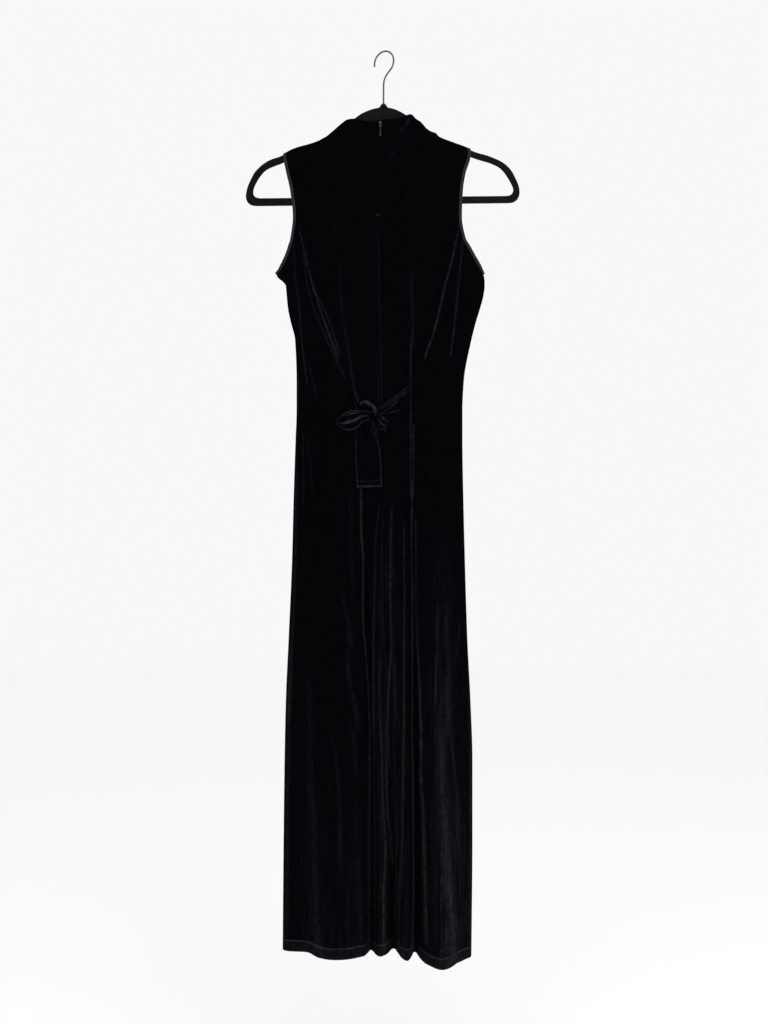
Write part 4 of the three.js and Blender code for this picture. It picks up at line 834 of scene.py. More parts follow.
def cloth_material(name, deep, lit, highlight_colour, sheen, sheen_roughness, tint, bump=0.35, grain=1300.0):
    """A nap cloth: the nap group into colour, roughness and bump. Painted highlight is blended in where its
    attribute says, and painted sheen in fine upright streaks where its attribute says."""
    made, tree, shader, place = new_material(name)
    nap = tree.nodes.new("ShaderNodeGroup")
    nap.node_tree = NAP
    nap.inputs["Deep"].default_value = (*deep, 1)
    nap.inputs["Lit"].default_value = (*lit, 1)
    nap.inputs["Grain"].default_value = grain
    tree.links.new(place, nap.inputs["Vector"])
    uneven = remap(tree, noise(tree, place, 200.0, 4.0, (1, 1, 0.6)), 0.32, 0.68, 0.28, 1.08)
    streaks = remap(tree, noise(tree, place, 210.0, 4.0, (1, 1, 0.07), 0.6), 0.4, 0.7, 0.03, 0.34)
    speckle = remap(tree, noise(tree, place, 320.0, 3.0, (1, 1, 0.8)), 0.3, 0.7, 0.25, 1.7)
    # painted sheen, from the attribute read here, broken into fine upright streaks
    sheen_streaks = times(tree, read_attribute(tree, "painted_sheen"), times(tree, streaks, speckle))
    share = add(tree, times(tree, read_attribute(tree, "painted_highlight"), uneven), sheen_streaks)
    share = calculate(tree, "MINIMUM", share, 1.0)
    # painted highlight and painted sheen blended into the base colour, towards the highlight colour
    colour = blend_colours(tree, share, nap.outputs["Color"], (*highlight_colour, 1))
    tree.links.new(colour, shader.inputs["Base Color"])
    tree.links.new(nap.outputs["Roughness"], shader.inputs["Roughness"])
    add_relief(tree, shader, nap.outputs["Height"], bump, 0.0003)
    set_values(shader, Specular_IOR_Level=0.02, Sheen_Weight=sheen, Sheen_Roughness=sheen_roughness,
               Sheen_Tint=(*tint, 1))
    return made


def metal_material(name, dark, light, roughness, metallic=1.0, scale=60.0, bump=0.05):
    """Plated metal: slightly uneven tone and fine wear marks in the roughness."""
    made, tree, shader, place = new_material(name)
    clouds = noise(tree, place, scale, 4.0)
    scratches = noise(tree, place, scale * 20, 3.0, (1.0, 1.0, 0.08))
    tree.links.new(blend_colours(tree, clouds, (*dark, 1), (*light, 1)), shader.inputs["Base Color"])
    rough = add(tree, remap(tree, clouds, 0.3, 0.7, roughness * 0.8, roughness * 1.25),
                remap(tree, scratches, 0.4, 0.75, 0.0, 0.12))
    tree.links.new(rough, shader.inputs["Roughness"])
    add_relief(tree, shader, scratches, bump, 0.0002)
    set_values(shader, Metallic=metallic)
    return made


# the third colour is the painted highlight colour
VELVET = cloth_material("velvet", (0.0002, 0.0004, 0.0007), (0.0005, 0.0007, 0.0012), (0.022, 0.023, 0.030),
                        0.04, 0.12, (0.62, 0.68, 0.80))

side_left, side_right = side_column(seam_left, -1, left_edge), side_column(seam_right, 1, right_edge)
center_left, center_right = middle_column(seam_left, seam_centre), middle_column(seam_centre, seam_right)
back_side_left = add_panel("back_side_left", BACK, side_left, 128)
back_center_left = add_panel("back_center_left", BACK, center_left, 46)
back_center_right = add_panel("back_center_right", BACK, center_right, 42)
back_side_right = add_panel("back_side_right", BACK, side_right, 116)
front = add_panel("front", FRONT, front_column, 130)


# Armhole bindings: a dull knit strip folded over each raw armhole edge and held by one row of stitches.
# Each is one band, up the back edge, over the shoulder, down the front edge and round the underarm, with
# a rounded section 5.5 mm wide and 2 mm thick that is drawn in along its stitch line.
BINDING_WIDTH, BINDING_THICKNESS = 5.5, 2.0


def binding_stations(back_column, front_edge, outward_x):
    """Middle, width direction and outer side of a binding at each station along one armhole edge."""
    rows = np.concatenate([1 + np.arange(36) / 36, [2, 2.12, 2.25, 2.38], np.linspace(2.5, 2.97, 9)])
    parts = []
    for side, column, u, v in ((BACK, back_column, 1.0, rows), (FRONT, front_column, front_edge, rows[::-1])):
        surface = panel_surface(side, column)
        point = surface(u, v)
        inside = surface(abs(u - 0.002), v)
        along = unit(surface(u, np.minimum(3, v + 1e-3)) - surface(u, np.maximum(1, v - 1e-3)))
        normal = unit(np.cross(inside - point, along))
        lean = np.array([outward_x * 0.1, side["sign"], 0.3])
        normal = normal * np.where(normal @ lean < 0, -1, 1)[:, None]
        blend = smooth(edge_curl(point[:, 2]) * 2.5)[:, None]
        normal = unit(mix(normal, np.array([0, side["sign"], 0]), blend))
        wide = unit(np.cross(along, normal))
        wide = wide * np.where(wide[:, 0] * outward_x < 0, -1, 1)[:, None]
        middle = point - normal * 0.6
        middle[:, 1] = side["sign"] * np.maximum(side["sign"] * middle[:, 1], np.where(v > 2.9, 0, 1.3))
        out = mix(0.0, BINDING_WIDTH / 2 - 0.4, smooth((v - 1) / 0.07))
        parts.append((middle + wide * out[:, None], wide, normal))
    middle, wide, normal = (np.concatenate(column) for column in zip(*parts))
    down = middle[0] - middle[1]
    down[1] = 0
    down = unit(down)
    radius = (middle[-1, 1] - middle[0, 1]) / 2
    turn = np.radians(np.linspace(72, -72, 7))[:, None]
    under = unit(np.array([0, 1, 0]) * np.sin(turn) + down * np.cos(turn))
    middle = np.concatenate([middle, (middle[0] + middle[-1]) / 2 + under * radius])
    wide = np.concatenate([wide, np.repeat(unit(wide[:1] + wide[-1:]), 7, 0)])
    return middle, wide, np.concatenate([normal, under])


def closed_faces(points, faces):
    """The same faces, turned so that a closed form has a positive volume."""
    p = np.asarray(points, float).reshape(-1, 3)
    second_halves = [(face[0], face[2], face[3]) for face in faces if len(face) == 4]
    f = np.asarray([face[:3] for face in faces] + second_halves)
    volume = np.einsum("ij,ij->", p[f[:, 0]], np.cross(p[f[:, 1]], p[f[:, 2]]))
    return faces if volume > 0 else [face[::-1] for face in faces]


STITCH_STEPS, STITCH_SIDES = 7, 6


def stitch_row(name, places, along, up, length, width, material, body="dress"):
    """A row of stitches: each is a short rounded thread, pinched where its two ends enter the cloth."""
    t = np.linspace(0, 1, STITCH_STEPS)
    reach = (t - 0.5) * length
    thick = np.sin(np.pi * np.clip(t, 0.06, 0.94)) ** 0.5
    ring = np.linspace(0, 2 * np.pi, STITCH_SIDES, endpoint=False)
    side = unit(np.cross(along, up))
    sunk = -0.45 * width * (2 * t - 1) ** 4
    points = (
        places[:, None, None, :]
        + along[:, None, None, :] * reach[None, :, None, None]
        + side[:, None, None, :] * (width / 2 * thick[:, None] * np.cos(ring))[None, :, :, None]
        + up[:, None, None, :] * (width / 2 * thick[:, None] * np.sin(ring) + sunk[:, None])[None, :, :, None]
    )
    corners, last = STITCH_STEPS * STITCH_SIDES, (STITCH_STEPS - 1) * STITCH_SIDES
    round_it = grid_faces(STITCH_STEPS, STITCH_SIDES, wrap_columns=True)
    one = round_it + [tuple(range(STITCH_SIDES)), tuple(range(last, corners))[::-1]]
    flat = points.reshape(len(places), corners, 3)
    turned = [face[::-1] for face in one] if closed_faces(flat[0], round_it)[0] != one[0] else one
    faces = [tuple(int(k) + corners * i for k in face) for i in range(len(places)) for face in turned]
    made = mesh_object(name, points, faces, material, body)
    return made


def along_path(path, spacing, closed=True):
    """Even places along a path of points: their positions as shares of the stations."""
    ahead = np.roll(path, -1, 0) if closed else path[1:]
    step = np.linalg.norm(ahead - path[: len(ahead)], axis=1)
    total = np.concatenate([[0], np.cumsum(step)])
    count = int(total[-1] / spacing)
    return np.interp((np.arange(count) + 0.5) * total[-1] / count, total, np.arange(len(total)))


def at_stations(values, place):
    """Values between stations of a closed row."""
    low = np.floor(place).astype(int)
    share = (place - low)[:, None]
    return values[low % len(values)] * (1 - share) + values[(low + 1) % len(values)] * share


def weave_material(name, dark, light, across, along, sheen, roughness=0.85, bump=0.3, depth=0.00015):
    """A knit or woven strip: ribs and rows from the strip's own weave attribute, in millimetres."""
    made, tree, shader, place = new_material(name)
    parts = tree.nodes.new("ShaderNodeSeparateXYZ")
    tree.links.new(read_attribute(tree, "weave", "Vector"), parts.inputs["Vector"])
    ribs = calculate(tree, "SINE", times(tree, parts.outputs["Y"], 6.2832 / across), 0.0)
    rows = calculate(tree, "SINE", times(tree, parts.outputs["X"], 6.2832 / along), 0.0)
    height = add(tree, times(tree, ribs, 0.5), times(tree, rows, 0.5))
    clouds, fuzz = noise(tree, place, 60.0, 4.0), noise(tree, place, 1500.0, 2.0)
    share = add(tree, times(tree, clouds, 0.7), times(tree, remap(tree, height, -1, 1, 0, 1), 0.3))
    tree.links.new(blend_colours(tree, share, (*dark, 1), (*light, 1)), shader.inputs["Base Color"])
    rough = remap(tree, fuzz, 0.3, 0.7, roughness - 0.08, roughness + 0.08)
    tree.links.new(rough, shader.inputs["Roughness"])
    add_relief(tree, shader, add(tree, height, times(tree, fuzz, 0.8)), bump, depth)
    set_values(shader, Specular_IOR_Level=0.15, Sheen_Weight=sheen, Sheen_Roughness=0.4)
    return made


BINDING = weave_material("binding_knit", (0.006, 0.006, 0.007), (0.016, 0.016, 0.018), 0.7, 0.5, 0.10)
THREAD = metal_material("thread", (0.006, 0.006, 0.007), (0.02, 0.02, 0.023), 0.55, metallic=0.0,
                        scale=400.0)


def add_binding(name, back_column, front_edge, outward_x):
    """The folded strip round one armhole, and the stitches along its inner side."""
    middle, wide, normal = binding_stations(back_column, front_edge, outward_x)
    ring = np.linspace(0, 2 * np.pi, 28, endpoint=False)
    a = np.sign(np.cos(ring)) * np.abs(np.cos(ring)) ** 0.55
    b = np.sign(np.sin(ring)) * np.abs(np.sin(ring)) ** 0.7
    b = b * (1 - 0.3 * np.exp(-(((a + 0.5) / 0.16) ** 2))) * (0.86 + 0.14 * a)
    points = (
        middle[:, None, :]
        + wide[:, None, :] * (a * BINDING_WIDTH / 2)[None, :, None]
        + normal[:, None, :] * (b * BINDING_THICKNESS / 2)[None, :, None]
    )
    faces = closed_faces(points, grid_faces(*points.shape[:2], wrap_rows=True, wrap_columns=True))
    made = mesh_object(name + "_strip", points, faces, BINDING)
    length = np.concatenate([[0], np.cumsum(np.linalg.norm(np.diff(middle, axis=0), axis=1))])
    weave = np.stack(np.broadcast_arrays(length[:, None], a[None, :] * BINDING_WIDTH / 2, b[None, :]), -1)
    set_attribute(made, "weave", weave, "FLOAT_VECTOR", "vector")
    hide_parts(name)
    line = middle - wide * (0.5 * BINDING_WIDTH / 2) + normal * (BINDING_THICKNESS / 2 * 0.62)
    place = along_path(line, 3.4)
    ahead = unit(at_stations(line, place + 0.2) - at_stations(line, place - 0.2))
    up = unit(at_stations(normal, place))
    stitches = stitch_row(name + "_stitches", at_stations(line, place), ahead, up, 2.3, 0.42, THREAD)
    return made, stitches


left_binding, left_binding_stitches = add_binding("armhole_binding_left", side_left, 0.0, -1)
right_binding, right_binding_stitches = add_binding("armhole_binding_right", side_right, 1.0, 1)


# Hem stitches: one plain row of black thread, sewn by machine through the turned up hem of each panel.
# Every stitch is a short thread that sinks a little into the pile at its two ends.
def add_hem_stitches(name, side, across):
    """A row of stitches along the height of the turned up edge, square to the cloth."""
    surface = panel_surface(side, across)
    u = np.linspace(0, 1, 400)
    v = HEM_DEPTH / (UNDERARM - hem_line(across(u, FIRST_HEM)))
    line = surface(u, v)
    outward = np.array([0, side["sign"], 0])
    place = np.clip(along_path(line, 4.0, closed=False), 0.25, 398.75)
    ahead = unit(at_stations(line, place + 0.2) - at_stations(line, place - 0.2))
    normal = at_stations(surface_normal(surface, u, v, outward), place)
    normal = unit(normal - ahead * (normal * ahead).sum(1, keepdims=True))
    return stitch_row(name + "_hem_stitches", at_stations(line, place) + 0.05 * normal, ahead, normal,
                      3.1, 0.5, THREAD)


hem_side_left = add_hem_stitches("back_side_left", BACK, side_left)
hem_center_left = add_hem_stitches("back_center_left", BACK, center_left)
hem_center_right = add_hem_stitches("back_center_right", BACK, center_right)
hem_side_right = add_hem_stitches("back_side_right", BACK, side_right)
hem_front = add_hem_stitches("front", FRONT, front_column)


# Zip of the centre back: a woven tape with a fine coil, sewn behind the seam so that only the slider and
# its pull show. The tape follows the cloth at a small distance inside it, and the coil is one bent thread.
ZIP_LENGTH, ZIP_TAPE_WIDTH, TAPE_ROWS, TAPE_COLUMNS = 150.0, 24.0, 60, 13
COIL_TURNS, COIL_STEPS = 118, 8


def lifted_point(x, z, out):
    """A point of the back moved out from the cloth, square to it."""
    x, z = np.broadcast_arrays(np.asarray(x, float), np.asarray(z, float))
    step = 0.05

    def y(a, b):
        return -cloth_depth(BACK, a, b, fine=False)

    normal = unit(np.stack([(y(x + step, z) - y(x - step, z)) / (2 * step), -np.ones(x.shape),
                            (y(x, z + step) - y(x, z - step)) / (2 * step)], -1))
    return np.stack([x, y(x, z), z], -1) + normal * np.asarray(out)[..., None]


zip_top = float(upper_edge(seam_centre(-112)))
u, v = np.linspace(0, 1, TAPE_ROWS)[:, None], np.linspace(0, 1, TAPE_COLUMNS)[None, :]
z = mix(zip_top - 5, zip_top - ZIP_LENGTH, u)
across = (v - 0.5) * ZIP_TAPE_WIDTH
tape_points = lifted_point(seam_centre(z) + across, z, np.full((TAPE_ROWS, TAPE_COLUMNS), -1.8))
tape_faces = facing(tape_points, grid_faces(TAPE_ROWS, TAPE_COLUMNS), (0, -1, 0))
ZIP_TAPE = weave_material("zip_tape_weave", (0.004, 0.004, 0.005), (0.010, 0.010, 0.011), 0.9, 0.45, 0.05)
zip_tape_cloth = mesh_object("zip_tape_cloth", tape_points, tape_faces, ZIP_TAPE)
tape_weave = np.stack(np.broadcast_arrays(-z, across, 0.0), -1)
set_attribute(zip_tape_cloth, "weave", tape_weave, "FLOAT_VECTOR", "vector")
thicken(zip_tape_cloth, 0.6)
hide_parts("zip_tape")


def tube(path, radius, sides, flat=1.0, up=(0, -1, 0)):
    """Points and faces of a tube: a ring of the given radius square to the path at each of its points."""
    path = np.asarray(path, float)
    radius = np.broadcast_to(np.asarray(radius, float), (len(path),))
    along = unit(np.gradient(path, axis=0))
    side = unit(np.cross(along, np.asarray(up, float)))
    tall = np.cross(side, along)
    ring = np.linspace(0, 2 * np.pi, sides, endpoint=False)
    points = (path[:, None, :] + side[:, None, :] * (radius[:, None] * np.cos(ring))[..., None]
              + tall[:, None, :] * (radius[:, None] * np.sin(ring) * flat)[..., None])
    last = (len(path) - 1) * sides
    faces = grid_faces(len(path), sides, wrap_columns=True)
    faces += [tuple(range(sides)), tuple(range(last + sides - 1, last - 1, -1))]
    if closed_faces(points, faces[:-2])[0] != faces[0]:
        faces = [face[::-1] for face in faces]
    return points, faces


t = np.linspace(0, 1, COIL_TURNS * COIL_STEPS)
coil_z = mix(zip_top - 12, zip_top - ZIP_LENGTH + 4, t)
turn = 2 * np.pi * COIL_TURNS * t
coil_path = lifted_point(seam_centre(coil_z) + 1.5 * np.cos(turn), coil_z, -2.9 + 0.55 * np.sin(turn))
ZIP_COIL = metal_material("zip_coil", (0.006, 0.006, 0.007), (0.014, 0.014, 0.016), 0.5, metallic=0.0,
                          scale=300.0)
zip_coil = mesh_object("zip_coil", *tube(coil_path, 0.26, 5), ZIP_COIL)

# Foot of the zip: a small bar of close upright stitches, sewn by machine through all layers and across the
# seam where the tape ends, so that the seam can't tear open below the slider.
TACK_STITCHES, TACK_Z = 7, -268.5
tack = np.linspace(-1.8, 1.8, TACK_STITCHES)
tack_places = lifted_point(seam_centre(TACK_Z) + tack, TACK_Z + 0 * tack, 0.25 + 0 * tack)
upright, outward = np.tile([0.0, 0, 1], (TACK_STITCHES, 1)), np.tile([0.0, -1, 0], (TACK_STITCHES, 1))
zip_tack = stitch_row("zip_end_tack", tack_places, upright, outward, 1.4, 0.45, THREAD)


# Slider and pull of the zip: die cast, dark plated. The slider is a small shield shaped block with an arch;
# the pull is a thin tab with a square eye, pressed round its rim, that hangs in the arch and swings there.
ZIP_METAL = metal_material("zip_metal", (0.012, 0.012, 0.014), (0.085, 0.085, 0.09), 0.24, scale=260.0)
SLIDER_X, SLIDER_HEIGHT, PULL_AXIS_Z = -5.9, 2.2, -121.0
slider_back = -float(cloth_depth(BACK, SLIDER_X, -116.5, fine=False)) - 0.5
PULL_AXIS_Y = slider_back - SLIDER_HEIGHT - 1.1


def rounded_loop(corners, radius, steps=5):
    """A closed outline with each corner cut back by up to radius and joined by a quadratic curve."""
    p = np.asarray(corners, float)
    before, after = np.roll(p, 1, 0), np.roll(p, -1, 0)
    back, ahead = np.linalg.norm(before - p, axis=1), np.linalg.norm(after - p, axis=1)
    a = p + (before - p) * (np.minimum(radius, back * 0.45) / back)[:, None]
    b = p + (after - p) * (np.minimum(radius, ahead * 0.45) / ahead)[:, None]
    t = np.linspace(0, 1, steps)[None, :, None]
    return (a[:, None] * (1 - t) ** 2 + p[:, None] * 2 * t * (1 - t) + b[:, None] * t**2).reshape(-1, 2)


def inset_loop(loop, amount):
    """The outline moved to its left by amount, square to its mean direction at each point."""
    ahead, back = unit(np.roll(loop, -1, 0) - loop), unit(loop - np.roll(loop, 1, 0))
    left = np.stack([-ahead[:, 1] - back[:, 1], ahead[:, 0] + back[:, 0]], -1)
    left = unit(left)
    reach = np.maximum(0.5, (left * np.stack([-back[:, 1], back[:, 0]], -1)).sum(1))
    return loop + left * (amount / reach)[:, None]


def signed_area(loop):
    """Area inside a closed outline, negative where it runs clockwise."""
    x, y = loop[:, 0], loop[:, 1]
    return 0.5 * np.sum(x * np.roll(y, -1) - np.roll(x, -1) * y)


def plate_form(outline, holes, thickness, rim, steps=4):
    """A flat plate from its outline and holes, as points (a, b, height) and faces. Its rims are rounded: a
    layer at angle t of a quarter circle lies rim (1 - cos t) off the face, drawn in by rim (1 - sin t)."""
    loops = [outline if signed_area(outline) > 0 else outline[::-1]]
    loops += [hole if signed_area(hole) < 0 else hole[::-1] for hole in holes]
    angle = np.linspace(0, np.pi / 2, steps)
    rise, inset = rim * (1 - np.cos(angle)), rim * (1 - np.sin(angle))
    heights = np.concatenate([rise - thickness / 2, thickness / 2 - rise[::-1]])
    insets = np.concatenate([inset, inset[::-1]])
    layers = []
    for height, amount in zip(heights, insets):
        flat = np.concatenate([inset_loop(loop, amount) for loop in loops])
        layers.append(np.concatenate([flat, np.full((len(flat), 1), height)], 1))
    count, faces, first = len(layers[0]), [], 0
    for loop in loops:
        i = np.arange(len(loop))
        j = (i + 1) % len(loop)
        for k in range(len(layers) - 1):
            low, high = k * count + first, (k + 1) * count + first
            faces += np.stack([low + i, low + j, high + j, high + i], -1).tolist()
        first += len(loop)
    ends, first = [], 0
    for loop in loops:
        ends.append([Vector((*p[:2], 0)) for p in layers[0][first:first + len(loop)]])
        first += len(loop)
    top = (len(layers) - 1) * count
    for a, b, c in tessellate_polygon(ends):
        corner = layers[0][[a, b, c], :2]
        turn_way = np.cross(corner[1] - corner[0], corner[2] - corner[0])
        a, c = (a, c) if turn_way > 0 else (c, a)
        faces += [(c, b, a), (top + a, top + b, top + c)]
    return np.concatenate(layers), faces


def placed(points, place, axes):
    """Points of a plate carried to a place, with its three axes turned to the given directions."""
    return points @ np.asarray(axes, float) + np.asarray(place, float)


def joined(*forms):
    """Several closed forms as one list of points and faces."""
    points, faces, start = [], [], 0
    for p, f in forms:
        points.append(np.asarray(p).reshape(-1, 3))
        faces += [tuple(int(k) + start for k in face) for face in f]
        start += len(points[-1])
    return np.concatenate(points), faces


FACING_BACK = [[1, 0, 0], [0, 0, 1], [0, -1, 0]]
ARCH_UPRIGHT = [[0, 1, 0], [0, 0, 1], [1, 0, 0]]
shield = rounded_loop([(-2.1, -5), (-1.5, -5.6), (1.5, -5.6), (2.1, -5), (2.7, 2.6), (1.9, 4), (-1.9, 4),
                       (-2.7, 2.6)], 1.2)
block = plate_form(shield, [], SLIDER_HEIGHT, 0.6)
arch_side = rounded_loop([(0.4, -2.3), (-2.05, -2.3), (-2.5, -1.6), (-2.5, 1.6), (-2.05, 2.3),
                          (0.4, 2.3)], 0.7)
arch_hole = rounded_loop([(0, -1.15), (0, 1.15), (-1.75, 1.15), (-1.75, -1.15)], 0.4)
arch = plate_form(arch_side, [arch_hole], 1.8, 0.25)
slider_points, slider_faces = joined(
    (placed(block[0], (SLIDER_X, slider_back - SLIDER_HEIGHT / 2, PULL_AXIS_Z), FACING_BACK), block[1]),
    (placed(arch[0], (SLIDER_X, slider_back - SLIDER_HEIGHT, PULL_AXIS_Z), ARCH_UPRIGHT), arch[1]),
)
slider = mesh_object("zip_slider_metal", slider_points, slider_faces, ZIP_METAL)
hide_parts("zip_slider")

tab = rounded_loop([(-2.0, 0.5), (2.0, 0.5), (2.0, -3.4), (1.2, -5.2), (0.9, -9), (1.4, -18.5), (1.0, -20.6),
                    (0, -21.2), (-1.0, -20.6), (-1.4, -18.5), (-0.9, -9), (-1.2, -5.2), (-2.0, -3.4)], 1.0)
eye = rounded_loop([(-1.2, -0.5), (-1.2, -3.0), (1.2, -3.0), (1.2, -0.5)], 0.5)
tab_form = plate_form(tab, [eye], 1.0, 0.32)
pressed = rounded_loop([(-0.45, -6.6), (0.45, -6.6), (0.75, -17.4), (0.45, -19), (-0.45, -19),
                        (-0.75, -17.4)], 0.4)
rib_form = plate_form(pressed, [], 0.5, 0.2)
pull_points, pull_faces = joined(
    (placed(tab_form[0], (SLIDER_X, PULL_AXIS_Y, PULL_AXIS_Z), FACING_BACK), tab_form[1]),
    (placed(rib_form[0], (SLIDER_X, PULL_AXIS_Y - 0.45, PULL_AXIS_Z), FACING_BACK), rib_form[1]),
)
pull = mesh_object("zip_pull_metal", pull_points, pull_faces, ZIP_METAL, "pull_tab")
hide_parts("zip_pull")


# Tie belt: two turned strips of the same velvet, sewn into the princess seams at the waist and tied in a
# bow with one loop each way and two tails. Each strip lies on the back, at a height that rises to the knot.
def line_through(rows):
    """A smooth line through table rows, as a function of 0 to 1."""
    table = np.column_stack([np.linspace(0, 1, len(rows)), rows])
    x, z = curve(table, 1), curve(table, 2)
    return lambda t: (x(t), z(t))


def strip_highlight_line(u, v, line):
    """A soft line of painted highlight on a strip from (u, v) to (u, v), with its width across and its share."""
    start_u, start_v, end_u, end_v, wide, share = line
    t = (u - start_u) / (end_u - start_u)
    within = smooth(t / 0.12) * smooth((1 - t) / 0.12)
    return share * within * np.exp(-(((v - mix(start_v, end_v, t)) / wide) ** 2))


def add_strip(name, first, second, height, rows, columns, rim=0.5, foot_highlight=0.0, lines=()):
    """Strip between two edge lines: the point between them at v, lifted off the back by height(u, v)."""
    u, v = np.linspace(0, 1, rows)[:, None], np.linspace(0, 1, columns)[None, :]
    (ax, az), (bx, bz) = line_through(first)(u), line_through(second)(u)
    rounded = 0.5 * np.abs(2 * v - 1) ** 12
    out = height(u, v) - rounded
    points = lifted_point(mix(ax, bx, v), mix(az, bz, v), out)
    made = mesh_object(name + "_cloth", points, facing(points, grid_faces(rows, columns), (0, -1, 0)), VELVET)
    # painted highlight along the strip's edges (rim), at the foot of a tail and along the given lines
    painted_highlight = rim * np.exp(-((np.minimum(v, 1 - v) / 0.035) ** 2)) + foot_highlight * np.exp(-(((1 - u) / 0.014) ** 2))
    painted_highlight = painted_highlight + 0.2 * foot_highlight * np.exp(-(((u - 0.945) / 0.008) ** 2))
    for line in lines:
        painted_highlight = painted_highlight + strip_highlight_line(u, v, line)
    set_attribute(made, "painted_highlight", painted_highlight)
    thicken(made, CLOTH_THICKNESS, 0)
    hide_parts(name)
    return made


strap_left = add_strip(
    "tie_strap_left",
    [(-45.6, -552.6), (-39.1, -569.7)],
    [(-51.3, -561.5), (-44.8, -578.6)],
    lambda u, v: 1.2 + 2.4 * u + 1.0 * np.sin(2 * np.pi * v) ** 2,
    24, 24, rim=0.7, lines=[(0, 0.3, 1, 0.4, 0.1, 0.9)],
)
strap_right = add_strip(
    "tie_strap_right",
    [(41.6, -543.6), (18.7, -561.5), (-4.1, -578.5), (-12.0, -582.5)],
    [(41.6, -585.2), (18.7, -588.4), (-0.8, -592.5), (-12.0, -593.0)],
    lambda u, v: 1.2 + 2.2 * u * u + 0.9 * (0.3 + u) * np.sin(3 * np.pi * v) ** 2,
    56, 56, rim=0.0,
    lines=[(0, 0.05, 1, 0.08, 0.05, 0.5), (0, 0.2, 0.85, 0.3, 0.05, 0.35),
           (0.25, 0.36, 0.85, 0.9, 0.05, 0.5), (0.22, 0.94, 0.9, 0.97, 0.05, 0.35)],
)
tail_back = add_strip(
    "tie_tail_back",
    [(-29.3, -598.5), (-40.8, -619.4), (-39.9, -653.6), (-38.3, -694.4)],
    [(-12.6, -598.0), (-11.6, -619.4), (-9.6, -653.6), (-8.1, -694.4)],
    lambda u, v: 1.2 + 0.5 * np.sin(2 * np.pi * v) ** 2 * (1 - 0.5 * u),
    70, 40, rim=0.45, foot_highlight=0.5,
)
tail_front = add_strip(
    "tie_tail_front",
    [(-32.6, -598.0), (-46.9, -619.4), (-46.5, -653.6), (-43.7, -710.4)],
    [(-15.9, -598.0), (-14.7, -619.4), (-6.2, -653.6), (-3.1, -709.6)],
    lambda u, v: 3.4 + 0.7 * np.sin(2.4 * np.pi * v + 0.5) ** 2 * (1 - 0.4 * u),
    90, 50, rim=0.6, foot_highlight=0.9, lines=[(0.04, 0.93, 0.4, 0.8, 0.03, 0.25)],
)

# Loops of the bow: the same turned strips, folded double by hand as the bow is tied. Each runs out from the
# knot, round a half circle at its end, and back on top of itself. LOOP_STRAIGHT is the share of each layer.
LOOP_STRAIGHT = 0.4


def add_loop(name, top, bottom, height, room, puff, rows=72, columns=36):
    """Loop: along its two edge lines and back, its upper layer higher by room and a swell in the middle."""
    a, b = line_through(top), line_through(bottom)
    end = unit(np.array(top[-1]) - np.array(top[-2]))
    u, v = np.linspace(0, 1, rows)[:, None], np.linspace(0, 1, columns)[None, :]
    s = np.clip(np.minimum(u, 1 - u) / LOOP_STRAIGHT, 0, 1)
    angle = np.pi * (np.clip((u - LOOP_STRAIGHT) / (1 - 2 * LOOP_STRAIGHT), 0, 1) - 0.5)
    (ax, az), (bx, bz) = a(s), b(s)
    beyond = room / 2 * np.cos(angle)
    lift = room + puff * np.sin(np.pi * s) * np.sin(np.pi * v)
    crease = 0.5 * np.exp(-(((v - 0.42 - 0.1 * s) / 0.09) ** 2)) * np.sin(np.pi * s) * (u > 0.5)
    out = height + lift * (1 + np.sin(angle)) / 2 - crease
    points = lifted_point(mix(ax, bx, v) + beyond * end[0], mix(az, bz, v) + beyond * end[1], out)
    faces = grid_faces(rows, columns)
    top_half = [face for face in faces if face[0] >= columns * (rows // 2 + 6)]
    upright = facing(points, top_half, (0, -1, 0))[0] == top_half[0]
    made = mesh_object(name + "_cloth", points, faces if upright else [face[::-1] for face in faces], VELVET)
    # painted highlight along the loop's edges, its turn, its fold and a crease line
    rim = 0.8 * np.exp(-((np.minimum(v, 1 - v) / 0.05) ** 2)) + 0.7 * np.exp(-(((u - 0.5) / 0.05) ** 2))
    rim = rim + 1.0 * np.exp(-(((v - 0.5 - 0.12 * s) / 0.06) ** 2)) * (u > 0.55) * np.sin(np.pi * s)
    within = smooth((s - 0.15) / 0.2) * smooth((0.75 - s) / 0.2)
    rim = rim + 0.7 * np.exp(-(((v - 0.17) / 0.035) ** 2)) * within
    set_attribute(made, "painted_highlight", 1.3 * rim)
    thicken(made, CLOTH_THICKNESS, 0)
    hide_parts(name)
    return made


loop_left = add_loop(
    "tie_loop_left",
    [(-18.6, -590.0), (-39.9, -586.0), (-53.0, -586.3), (-66.0, -593.0), (-75.2, -600.6)],
    [(-22.5, -600.8), (-33.6, -604.4), (-43.6, -614.6), (-55.6, -618.4), (-66.2, -616.3), (-74.6, -608.6)],
    6.6, 3.2, 1.6,
)
loop_right = add_loop(
    "tie_loop_right",
    [(-11.4, -592.5), (0.0, -597.2), (5.6, -604.8)],
    [(-12.0, -600.5), (-6.3, -616.8), (0.2, -617.0)],
    5.6, 3.0, 0.6,
)

